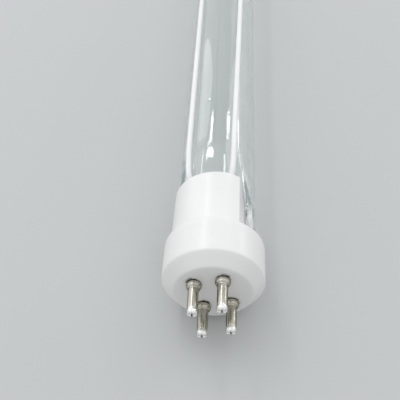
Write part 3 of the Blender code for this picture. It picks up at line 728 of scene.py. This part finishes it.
def pin_outline():
    """Half section of a hollow pin, from its open tail over the bead to the tip."""
    bead_end = -BEAD_SEAT - BEAD_LENGTH
    outline = rounded([
        (PIN_BORE_RADIUS, PIN_TAIL_END, 0.0),
        (PIN_BORE_RADIUS, PIN_BORE_END, 0.0),
        (0.0, PIN_BORE_END, 0.0),
        (0.0, -PIN_LENGTH, 0.0),
        (PIN_TIP_RADIUS, -PIN_LENGTH, 0.6 * MM),
        (PIN_TIP_RADIUS, -PIN_LENGTH + TIP_END, 0.3 * MM),
        (PIN_WAIST_RADIUS, -PIN_LENGTH + WAIST_END, 0.3 * MM),
        (PIN_RADIUS, -PIN_LENGTH + SHANK_START, 1.0 * MM),
        (PIN_RADIUS, bead_end - 0.1 * MM, 0.25 * MM),
        (BEAD_RADIUS, bead_end + 0.05 * MM, 0.55 * MM),
        (BEAD_RADIUS, -BEAD_SEAT, 0.4 * MM),
        (PIN_RADIUS, -BEAD_SEAT, 0.0),
        (PIN_RADIUS, PIN_TAIL_END, 0.0),
    ], PIN_STEPS)
    return subdivided(outline[:3], 2.0 * MM)[:-1] + subdivided(outline[2:], 0.12 * MM)


def crimped(bm):
    """Press the crossed crimping grooves into the tip, upright as the lamp lies, and store a mask of painted
    shade for the lower half of the upright slit.
    """
    slit_shade = bm.verts.layers.float.new("slit_shade")
    for vert in bm.verts:
        x, station, z = vert.co
        depth = station + PIN_LENGTH
        if depth > CRIMP_REACH:
            continue
        across = x * math.cos(CLOCKING) - z * math.sin(CLOCKING)
        up = x * math.sin(CLOCKING) + z * math.cos(CLOCKING)
        upright = math.exp(-((across / CRIMP_WIDTH) ** 2))
        crossed = math.exp(-((up / CRIMP_WIDTH) ** 2))
        lower = min(1.0, max(0.0, 0.5 - up / CRIMP_SPREAD))
        groove = max(upright * (CRIMP_ABOVE + (1.0 - CRIMP_ABOVE) * lower), CRIMP_CROSSED * crossed)
        fade = max(0.0, 1.0 - depth / CRIMP_REACH)
        # Painted shade: the upright slit is marked dark only in its lower half, where light from above does
        # not reach
        vert[slit_shade] = upright * lower * fade
        radius = max(math.hypot(x, z), 1e-9)
        pinch = 1.0 - min(radius, CRIMP_PINCH * groove * fade**CRIMP_TAPER) / radius
        vert.co.x = x * pinch
        vert.co.z = z * pinch
        hole = math.exp(-((radius / END_HOLE_RADIUS) ** 4)) * max(0.0, 1.0 - depth / END_HOLE_REACH)
        vert.co.y = station + CRIMP_DEPTH * groove * fade**2 + END_HOLE_DEPTH * hole
    return bm


def build_pins():
    shape = shaded(crimped(turned(pin_outline(), PIN_SEGMENTS)), "pin", PIN_SHARP)
    for name, (place, height) in pin_places().items():
        move = Matrix.Translation((place, 0.0, height))
        new_name = name.replace("contact_pin", "nickel_pin")
        pin = piece_from(new_name, shape.copy(), "nickel_plate", CLOCK @ move)
        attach(pin, "root")
        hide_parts(name)


# Shape trees

ROD_SIDES = 16
WIRE_SIDES = 20
COIL_SIDES = 10
COIL_POINTS = 360
WORKED_SHARE = 0.9
CREASE_START = 2.0 * MM
CREASE_FULL = 9.0 * MM
WAVE_FADE = 8.0 * MM
WAVE_THINNEST = 2.0 * MM
END_THINNING = 0.75
END_NARROWING = 0.06


class ShapeTree(Nodes):
    """A geometry node tree with named inputs."""

    def __init__(self, name, numbers, finishes=("Finish",)):
        super().__init__(bpy.data.node_groups.new(name, "GeometryNodeTree"))
        sockets = [("Geometry", "INPUT", "Geometry"), ("Geometry", "OUTPUT", "Geometry")]
        sockets += [(label, "INPUT", "Float") for label in numbers]
        sockets += [(label, "INPUT", "Material") for label in finishes]
        for label, way, kind in sockets:
            self.tree.interface.new_socket(label, in_out=way, socket_type=f"NodeSocket{kind}")
        self.inputs = self.add("NodeGroupInput").outputs
        self.end = self.add("NodeGroupOutput").inputs[0]

    def path(self):
        """The base mesh's edges as a curve."""
        return self.add("GeometryNodeMeshToCurve", Mesh=self.inputs["Geometry"]).outputs[0]

    def coated(self, geometry, skin):
        """Smooth shading and a finish."""
        smooth = self.add("GeometryNodeSetShadeSmooth", Geometry=geometry).outputs[0]
        return self.add("GeometryNodeSetMaterial", Geometry=smooth, Material=skin).outputs[0]

    def swept(self, path, radius, skin, sides):
        """A capped round bar along a path, with its finish."""
        section = self.add("GeometryNodeCurvePrimitiveCircle", Resolution=sides, Radius=radius)
        bar = self.add("GeometryNodeCurveToMesh", Curve=path, Profile_Curve=section.outputs[0],
                       Fill_Caps=True)
        return self.coated(bar.outputs[0], skin)

    def finished(self, geometry):
        """The tree itself, once its geometry is real and led out."""
        real = self.add("GeometryNodeRealizeInstances", Geometry=geometry)
        self.feed(real.outputs[0], self.end)
        return self.tree


def grown(name, tree, base, values):
    """Run a node tree on a base mesh and give back the plain mesh that it makes."""
    maker = linked(name, base)
    modifier = maker.modifiers.new(name, "NODES")
    modifier.node_group = tree
    for item in tree.interface.items_tree:
        if item.item_type == "SOCKET" and item.in_out == "INPUT" and item.name in values:
            modifier[item.identifier] = values[item.name]
    return settled(maker)


def rod_tree():
    """A bare rod along a path."""
    tree = ShapeTree("rod_along_path", ("Rod Radius",))
    get = tree.inputs
    return tree.finished(tree.swept(tree.path(), get["Rod Radius"], get["Finish"], ROD_SIDES))


def wire_tree():
    """A bare core along a path, with insulation over all but its two ends."""
    tree = ShapeTree("wire_along_path", ("Core Radius", "Sleeve Radius", "Sleeve Start", "Sleeve End"),
                     ("Core Finish", "Sleeve Finish"))
    get = tree.inputs
    path = tree.path()
    trim = tree.add("GeometryNodeTrimCurve", {"mode": "LENGTH"}, Curve=path)
    tree.feed(get["Sleeve Start"], trim.inputs[4])
    tree.feed(get["Sleeve End"], trim.inputs[5])
    joined = tree.add("GeometryNodeJoinGeometry")
    for run, layer in ((path, "Core"), (trim.outputs[0], "Sleeve")):
        bar = tree.swept(run, get[f"{layer} Radius"], get[f"{layer} Finish"], WIRE_SIDES)
        tree.feed(bar, joined.inputs[0])
    return tree.finished(joined.outputs[0])


def coil_tree():
    """A coiled filament with straight tails, wound along the width of the seal."""
    tree = ShapeTree("coiled_filament", ("Tail Share", "Turns", "Coil Radius", "Wire Radius"))
    get = tree.inputs
    dense = tree.add("GeometryNodeResampleCurve", Curve=tree.path(), Count=COIL_POINTS).outputs[0]
    share = tree.add("GeometryNodeSplineParameter").outputs["Factor"]
    wound = tree.ranged(share, get["Tail Share"], tree.minus(1.0, get["Tail Share"]))
    turned_by = tree.times(tree.times(wound, get["Turns"]), 2 * math.pi)
    up = tree.times(tree.sum("COSINE", turned_by), get["Coil Radius"])
    along = tree.times(tree.sum("SINE", turned_by), get["Coil Radius"])
    offset = tree.add("ShaderNodeCombineXYZ", Y=along, Z=up).outputs[0]
    coil = tree.add("GeometryNodeSetPosition", Geometry=dense, Offset=offset).outputs[0]
    return tree.finished(tree.swept(coil, get["Wire Radius"], get["Finish"], COIL_SIDES))


def pressed_tube_tree():
    """A round tube that flattens through soft shoulders into a thin seal at each end."""
    tree = ShapeTree("pressed_tube", (
        "Radius", "End Station", "Shoulder End", "Flat End", "Seal Half", "Softness", "Slope",
        "Bead", "Bead Place", "Bead Spread", "Lean", "Crease", "Wave Height", "Wave Scale",
        "Wave Seed", "End Rounding", "Half Length"))
    get, plus, minus, times = tree.inputs, tree.plus, tree.minus, tree.times
    across, up, along = tree.split(tree.add("GeometryNodeInputPosition").outputs[0])
    side = tree.sum("SIGN", up)

    # Each ring's own distance from the nearer end
    from_end = minus(1.0, tree.sum("ABSOLUTE", along))
    straight = minus(get["Half Length"], get["Shoulder End"])
    worked = tree.ranged(from_end, 0.0, WORKED_SHARE, get["End Station"], get["Shoulder End"])
    station = plus(worked, tree.ranged(from_end, WORKED_SHARE, 1.0, 0.0, straight))

    # Half thickness of the flattened glass, with a bead along each edge
    rise = times(minus(station, get["Flat End"]), get["Slope"])
    squares = plus(times(rise, rise), times(get["Softness"], get["Softness"]))
    height = plus(get["Seal Half"], times(plus(rise, tree.sum("SQRT", squares)), 0.5))
    width = times(across, get["Radius"])
    from_bead = minus(tree.sum("ABSOLUTE", width), get["Bead Place"])
    offset = tree.sum("DIVIDE", from_bead, get["Bead Spread"])
    bead = times(get["Bead"], tree.sum("EXPONENT", times(times(offset, offset), -1.0)))

    # The shoulder leans a little and creases softly into the round tube
    shoulder = tree.ranged(station, plus(get["Flat End"], CREASE_START),
                           plus(get["Flat End"], CREASE_FULL), ramp="SMOOTHSTEP")
    lean = times(times(width, side), times(shoulder, get["Lean"]))
    flat = minus(plus(height, bead), lean)
    crease = plus(get["Softness"], times(shoulder, get["Crease"]))
    circle = times(tree.sum("ABSOLUTE", up), get["Radius"])
    thick = tree.sum("SMOOTH_MIN", circle, flat, crease)

    # Waves where the glass was worked by hand
    drawn = tree.ranged(station, plus(get["Shoulder End"], WAVE_FADE), get["Shoulder End"],
                        ramp="SMOOTHSTEP")
    spot = tree.add("ShaderNodeCombineXYZ", X=width, Y=station, Z=times(up, get["Radius"]))
    ripples = tree.add("ShaderNodeTexNoise", {"noise_dimensions": "4D"}, W=get["Wave Seed"],
                       Vector=spot.outputs[0], Scale=get["Wave Scale"], Detail=1.0).outputs["Fac"]
    wave = times(times(minus(ripples, 0.5), get["Wave Height"]), times(shoulder, drawn))
    room = tree.sum("MINIMUM", 1.0, tree.sum("DIVIDE", thick, WAVE_THINNEST))
    thick = plus(thick, times(wave, room))

    # Thickness and width draw in over the last stretch
    run = tree.sum("DIVIDE", minus(station, get["End Station"]), get["End Rounding"])
    near_end = minus(1.0, tree.sum("MINIMUM", 1.0, run))
    closing = times(near_end, near_end)
    kept = tree.sum("MAXIMUM", 0.0, minus(1.0, times(closing, END_THINNING)))
    thick = times(thick, tree.sum("SQRT", kept))
    width = times(width, minus(1.0, times(closing, END_NARROWING)))

    mirrored = plus(get["Half Length"], times(
        tree.sum("SIGN", along), minus(get["Half Length"], station)))
    place = tree.add("ShaderNodeCombineXYZ", X=width, Y=mirrored, Z=times(thick, side)).outputs[0]
    shaped = tree.add("GeometryNodeSetPosition", Geometry=get["Geometry"], Position=place)
    return tree.finished(tree.coated(shaped.outputs[0], get["Finish"]))


# Quartz tube

TUBE_SIDES = 144
TUBE_RINGS = 150
SOFT_SHOULDER_END = SHOULDER_END + 3.0 * MM
SHOULDER_LEAN = 0.08
SHOULDER_CREASE = 1.8 * MM
WAVE_HEIGHT = 0.3 * MM
WAVE_SCALE = 150.0
SKIN_SEED = 8.0
GAS_SEED = 5.0
SEAL_ROUNDING = 0.9 * MM
GAS_ROUNDING = 2.5 * MM


def unit_tube():
    """A closed tube of radius 1 from -1 to 1 along its third axis, for the node tree."""
    bm = bmesh.new()
    rings = []
    for ring in range(TUBE_RINGS + 1):
        along = -1.0 + 2.0 * ring / TUBE_RINGS
        loop = []
        for side in range(TUBE_SIDES):
            angle = 2 * math.pi * (side + 0.5) / TUBE_SIDES
            loop.append(bm.verts.new((math.cos(angle), math.sin(angle), along)))
        rings.append(loop)
    for near, far in zip(rings, rings[1:]):
        for side in range(TUBE_SIDES):
            following = (side + 1) % TUBE_SIDES
            bm.faces.new((near[side], near[following], far[following], far[side]))
    bm.faces.new(list(reversed(rings[0])))
    bm.faces.new(rings[-1])
    return mesh_from(bm, "unit_tube")


def build_quartz_tube():
    """Outer skin and gas space of the quartz tube, as one body of glass."""
    tree = pressed_tube_tree()
    shared = {
        "Shoulder End": SOFT_SHOULDER_END,
        "Flat End": PRESS_FLAT_END,
        "Softness": PRESS_SOFTNESS,
        "Slope": PRESS_SLOPE,
        "Bead Place": PRESS_BEAD_PLACE,
        "Bead Spread": PRESS_BEAD_SPREAD,
        "Lean": SHOULDER_LEAN,
        "Crease": SHOULDER_CREASE,
        "Wave Height": WAVE_HEIGHT,
        "Wave Scale": WAVE_SCALE,
        "Half Length": LAMP_LENGTH / 2,
        "Finish": FINISHES["quartz"],
    }
    skin = grown("tube_skin", tree, unit_tube(), {
        **shared, "Radius": TUBE_RADIUS, "End Station": PRESS_END, "Seal Half": PRESS_HALF,
        "Bead": PRESS_BEAD, "Wave Seed": SKIN_SEED, "End Rounding": SEAL_ROUNDING})
    gas = grown("gas_space", tree, unit_tube(), {
        **shared, "Radius": TUBE_RADIUS - TUBE_WALL, "End Station": GAS_END,
        "Seal Half": PRESS_HALF - TUBE_WALL, "Bead": 0.0, "Wave Seed": GAS_SEED,
        "End Rounding": GAS_ROUNDING})
    bm = bmesh.new()
    bm.from_mesh(skin)
    bmesh.ops.recalc_face_normals(bm, faces=bm.faces)
    inner = bmesh.new()
    inner.from_mesh(gas)
    bmesh.ops.recalc_face_normals(inner, faces=inner.faces)
    bmesh.ops.reverse_faces(inner, faces=inner.faces)
    inner.to_mesh(gas)
    inner.free()
    bm.from_mesh(gas)
    mesh = mesh_from(bm, "quartz_tube")
    mesh.shade_smooth()
    tube = piece_from("quartz_tube", mesh, "quartz")
    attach(tube, "root")
    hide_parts("quartz_envelope")


# Wires, leads, filaments

WIRE_STEP = 0.8 * MM
LEAD_STEP = 0.4 * MM


def smooth_route(knots, step):
    """Points at an even step along a smooth curve through the knots."""
    padded = [knots[0] * 2 - knots[1], *knots, knots[-1] * 2 - knots[-2]]
    dense = []
    for before, start, end, after in zip(padded, padded[1:], padded[2:], padded[3:]):
        stretch = (end - start).length
        pieces = max(2, math.ceil(stretch / step))
        leaving = (end - before).normalized() * stretch
        arriving = (after - start).normalized() * stretch
        for piece in range(pieces):
            at = piece / pieces
            dense.append(
                start * (2 * at**3 - 3 * at**2 + 1)
                + leaving * (at**3 - 2 * at**2 + at)
                + end * (3 * at**2 - 2 * at**3)
                + arriving * (at**3 - at**2)
            )
    dense.append(knots[-1])
    return dense


def path_mesh(points):
    """The points of a path as a mesh of edges."""
    mesh = bpy.data.meshes.new("path")
    edges = [(index, index + 1) for index in range(len(points) - 1)]
    mesh.from_pydata([tuple(point) for point in points], edges, [])
    return mesh


def run_length(points, station):
    """Length of a path up to where it crosses a station along the lamp."""
    total = 0.0
    for start, end in zip(points, points[1:]):
        if (start.y - station) * (end.y - station) <= 0.0 and start.y != end.y:
            return total + (end - start).length * (station - start.y) / (end.y - start.y)
        total += (end - start).length
    return total


def dip_places(inside, outside, dips):
    """Where a wire follows the shoulder between its place in a ceramic and on the tube."""
    rest = WIRE_RADIUS + 2 * FIT_GAP
    places = []
    for rise, share in dips:
        station = PRESS_FLAT_END + (SHOULDER_END - PRESS_FLAT_END) * rise
        place = inside.lerp(outside, share)
        place.z = max(place.z, seal_height(station) + rest)
        places.append((place, station))
    return places


def wire_knots(side, angles):
    """The route of one return wire, from inside its pin to its joint in the cap."""
    lie = TUBE_RADIUS + WIRE_RADIUS + FIT_GAP
    turns = [math.radians(angle) for angle in angles]
    near, middle, far = [Vector((math.sin(turn), 0.0, math.cos(turn))) * lie for turn in turns]
    pin = Vector((side * PIN_PITCH_WIDE / 2, 0.0, PIN_PITCH_DEEP / 2))
    joint = Vector((side * LEAD_PLACE, 0.0, JOINT_HEIGHT))
    inside = Vector((side * WIRE_FAR_PLACE, 0.0, WIRE_FAR_HEIGHT))
    along = Vector((0.0, 1.0, 0.0))
    far_end = along * LAMP_LENGTH
    leaving = [(pin, CORE_END), (pin, PIN_TAIL_END), (pin, CEMENT_END),
               *dip_places(pin, near, WIRE_DIPS_NEAR), (near, SHOULDER_END)]
    arriving = [(far, SHOULDER_END), *reversed(dip_places(inside, far, WIRE_DIPS_FAR)),
                (inside, CEMENT_END), (inside, CEMENT_START), (joint, SPLICE_END),
                (joint, SPLICE_START + FIT_GAP)]
    knots = [place + along * station for place, station in leaving]
    knots.append(middle + far_end / 2)
    knots += [place + far_end - along * station for place, station in arriving]
    return knots


def build_return_wires(tree):
    """The two white insulated wires outside the glass, with bare ends."""
    routes = {
        "left": wire_knots(-1.0, WIRE_ANGLES_LEFT),
        "right": wire_knots(1.0, WIRE_ANGLES_RIGHT),
    }
    for side, knots in routes.items():
        points = smooth_route(knots, WIRE_STEP)
        mesh = grown("return_wire", tree, path_mesh(points), {
            "Core Radius": WIRE_CORE_RADIUS,
            "Sleeve Radius": WIRE_RADIUS,
            "Sleeve Start": run_length(points, WIRE_STRIP),
            "Sleeve End": run_length(points, LAMP_LENGTH - SPLICE_END - FIT_GAP),
            "Core Finish": FINISHES["copper_core"],
            "Sleeve Finish": FINISHES["white_insulation"],
        })
        wire = piece_from(f"insulated_wire_{side}", mesh, None)
        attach(wire, "root")
        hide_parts(f"return_wire_{side}")


def inner_lead_knots(side):
    """The support rod from the foil up to one end of the filament."""
    knots = [Vector((side * LEAD_PLACE, FOIL_END - LEAD_LAP, 0.0))]
    for rise, inward in LEAD_BENDS:
        place = LEAD_PLACE + (FILAMENT_PLACE - LEAD_PLACE) * inward
        station = GAS_END + (FILAMENT_STATION - GAS_END) * rise
        knots.append(Vector((side * place, station, 0.0)))
    knots.append(Vector((side * FILAMENT_PLACE, FILAMENT_STATION + COIL_RADIUS, 0.0)))
    return knots


def near_lead_knots(side):
    """The outer lead from the near foil, bent down into a lower pin."""
    pin_x = side * PIN_PITCH_WIDE / 2
    pin_z = -PIN_PITCH_DEEP / 2
    return [
        Vector((side * LEAD_PLACE, FOIL_START + LEAD_LAP, 0.0)),
        Vector((side * LEAD_PLACE, CEMENT_START - FIT_GAP, 0.0)),
        Vector(((side * LEAD_PLACE + pin_x) / 2, (CEMENT_START + PIN_TAIL_END) / 2, pin_z / 2)),
        Vector((pin_x, PIN_TAIL_END + 2 * FIT_GAP, pin_z)),
        Vector((pin_x, CORE_END, pin_z)),
    ]


def far_lead_knots(side):
    """The straight outer lead at the far end."""
    return [
        Vector((side * LEAD_PLACE, FOIL_START + LEAD_LAP, 0.0)),
        Vector((side * LEAD_PLACE, SPLICE_START + FIT_GAP, 0.0)),
    ]


ENDS = {
    "near": (Matrix.Identity(4), {"left": -1.0, "right": 1.0}, near_lead_knots),
    "far": (FAR_END, {"left": 1.0, "right": -1.0}, far_lead_knots),
}


def build_leads(tree):
    """Leads on both sides of every foil."""
    for end, (move, sides, outer_knots) in ENDS.items():
        for side, sign in sides.items():
            for kind, knots, skin in (
                ("inner_lead", inner_lead_knots(sign), "tungsten"),
                ("outer_lead", outer_knots(sign), "molybdenum"),
            ):
                points = smooth_route(knots, LEAD_STEP)
                mesh = grown(kind, tree, path_mesh(points),
                             {"Rod Radius": LEAD_RADIUS, "Finish": FINISHES[skin]})
                lead = piece_from(f"{kind}_rod_{end}_{side}", mesh, skin, CLOCK @ move)
                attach(lead, "root")
                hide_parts(f"{kind}_{end}_{side}")


def build_filaments(tree):
    """The coiled tungsten filament at each end."""
    for end, (move, _, _) in ENDS.items():
        line = [Vector((-FILAMENT_REACH, FILAMENT_STATION, 0.0)),
                Vector((FILAMENT_REACH, FILAMENT_STATION, 0.0))]
        mesh = grown("filament", tree, path_mesh(line), {
            "Tail Share": COIL_TAIL / (2 * FILAMENT_REACH),
            "Turns": float(COIL_TURNS),
            "Coil Radius": COIL_RADIUS,
            "Wire Radius": COIL_WIRE_RADIUS,
            "Finish": FINISHES["tungsten"],
        })
        coil = piece_from(f"filament_coil_{end}", mesh, "tungsten", CLOCK @ move)
        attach(coil, "root")
        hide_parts(f"filament_{end}")


def dress_carried_nodes():
    """Give the solids that stay their own finishes."""
    kept = {
        "base_cement": "cement", "end_cap_cement": "cement", "mercury_drop": "mercury",
        "splice_sleeve_left": "nickel_plate", "splice_sleeve_right": "nickel_plate",
        "foil_near_left": "foil", "foil_near_right": "foil",
        "foil_far_left": "foil", "foil_far_right": "foil",
    }
    for node, skin in kept.items():
        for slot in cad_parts[node].material_slots:
            slot.material = FINISHES[skin]


# Floor, lamps, camera

FLOOR_HEIGHT = cad_box[0].z
FLOOR_DROP = 0.02 * MM
FLOOR_SIZE = 6.0
FLOOR_COLOUR = (0.56, 0.57, 0.57)
FLOOR_SHADE = (0.55, 0.56, 0.56)
ROOM_TINT = (0.97, 0.985, 1.0, 1.0)
ROOM_BELOW = 0.42
ROOM_ABOVE = 0.97
ROOM_SIDES = 0.35
ROOM_SIDE_SPAN = (0.5, 0.95)
ROOM_AHEAD_SPAN = (0.15, 0.45)
ROOM_FRONT_DIP = 0.75
ROOM_FRONT_SPAN = (-0.85, -0.35)
ROOM_FRONT_RISE = (0.15, 0.5)
LIGHT_TARGET = Vector((0.0, 0.03, 0.0))
CAMERA_LENS = 62.7716
CAMERA_SENSOR = 36.0
CAMERA_CLIP = 0.005
CAMERA_PLACE = (0.00140, -0.09034, 0.12141)
CAMERA_RIGHT = (0.99893, 0.04631, 0.0)
CAMERA_FORWARD = (-0.03229, 0.69646, -0.71687)


def build_floor():
    """A plain pale floor under the lamp."""
    bm = bmesh.new()
    bmesh.ops.create_grid(bm, x_segments=2, y_segments=2, size=FLOOR_SIZE)
    mesh = mesh_from(bm, "floor")
    mesh.transform(Matrix.Translation((0.0, 0.0, FLOOR_HEIGHT - FLOOR_DROP)))
    finish = Finish("pale_floor", FLOOR_COLOUR, 0.75)
    tone = finish.noise(finish.place, 4.0)
    finish.drive(finish.two_tone(tone, FLOOR_SHADE, FLOOR_COLOUR), "Base Color")
    mesh.materials.append(finish.material)
    floor = linked("floor", mesh)


def around(ring, cone):
    """A direction by its angle round the lamp's length, from above, and its angle off it."""
    ring, cone = math.radians(ring), math.radians(cone)
    return (math.sin(cone) * math.sin(ring), math.cos(cone), math.sin(cone) * math.cos(ring))


def soft_lamp(name, direction, distance, size, power):
    """A rectangular studio light that faces the base, squared up to the lamp's length."""
    light = bpy.data.lights.new(name, "AREA")
    light.shape = "RECTANGLE"
    light.size, light.size_y = size
    light.energy = power
    holder = linked(name, light)
    towards = Vector(direction).normalized()
    across = Vector((0.0, 1.0, 0.0)).cross(towards).normalized()
    basis = Matrix((across, towards.cross(across), towards)).transposed().to_4x4()
    holder.matrix_world = Matrix.Translation(LIGHT_TARGET + towards * distance) @ basis


def build_lights():
    soft_lamp("overhead_light", (-0.5, 0.05, 1.0), 1.0, (0.6, 0.6), 0.66)
    soft_lamp("left_wall", around(-61.0, 39.7), 0.8, (0.46, 0.24), 0.33)
    soft_lamp("ceiling_strip", around(-25.0, 54.0), 0.7, (0.06, 0.38), 0.46)
    soft_lamp("window_edge", around(64.6, 49.4), 0.8, (0.03, 0.3), 0.22)
    soft_lamp("far_window", around(35.6, 39.3), 0.7, (0.2, 0.028), 0.15)
    world = bpy.data.worlds.new("studio")
    world.use_nodes = True
    bpy.context.scene.world = world
    room = Nodes(world.node_tree)
    plus, minus, times, ranged = room.plus, room.minus, room.times, room.ranged
    across, along, up = room.split(room.add("ShaderNodeTexCoord").outputs["Generated"])
    height = ranged(up, -1.0, 1.0, ROOM_BELOW, ROOM_ABOVE)
    sides = ranged(room.sum("ABSOLUTE", across), *ROOM_SIDE_SPAN, 0.0, ROOM_SIDES)
    sides = times(sides, ranged(along, *ROOM_AHEAD_SPAN))

    # Only diffuse light dips in front, so that what is seen or mirrored is one room
    light = room.add("ShaderNodeLightPath").outputs
    mirrored = room.sum("MAXIMUM", light["Is Glossy Ray"], light["Is Transmission Ray"])
    seen = room.sum("MAXIMUM", light["Is Camera Ray"], mirrored)
    front = times(ranged(along, *ROOM_FRONT_SPAN, 1.0, 0.0), ranged(up, *ROOM_FRONT_RISE, 1.0, 0.0))
    dip = times(times(front, ROOM_FRONT_DIP), minus(1.0, seen))
    background = room.tree.nodes["Background"]
    background.inputs["Color"].default_value = ROOM_TINT
    room.feed(times(plus(height, sides), minus(1.0, dip)), background.inputs["Strength"])


def build_camera():
    """The photograph's own viewpoint, fitted to the outlines of the lamp."""
    camera = bpy.data.cameras.new("camera")
    camera.sensor_width = CAMERA_SENSOR
    camera.sensor_fit = "HORIZONTAL"
    camera.lens = CAMERA_LENS
    camera.clip_start = CAMERA_CLIP
    holder = linked("camera", camera)
    right = Vector(CAMERA_RIGHT).normalized()
    forward = Vector(CAMERA_FORWARD).normalized()
    up = right.cross(forward).normalized()
    right = forward.cross(up).normalized()
    basis = Matrix((right, up, -forward)).transposed().to_4x4()
    holder.matrix_world = Matrix.Translation(CAMERA_PLACE) @ basis
    bpy.context.scene.camera = holder


build_camera()
build_ceramic_base()
build_end_cap()
build_pins()
build_quartz_tube()
build_return_wires(wire_tree())
build_leads(rod_tree())
build_filaments(coil_tree())
dress_carried_nodes()
build_floor()
build_lights()
bpy.context.scene.view_settings.view_transform = "Standard"

bpy.context.view_layer.update()
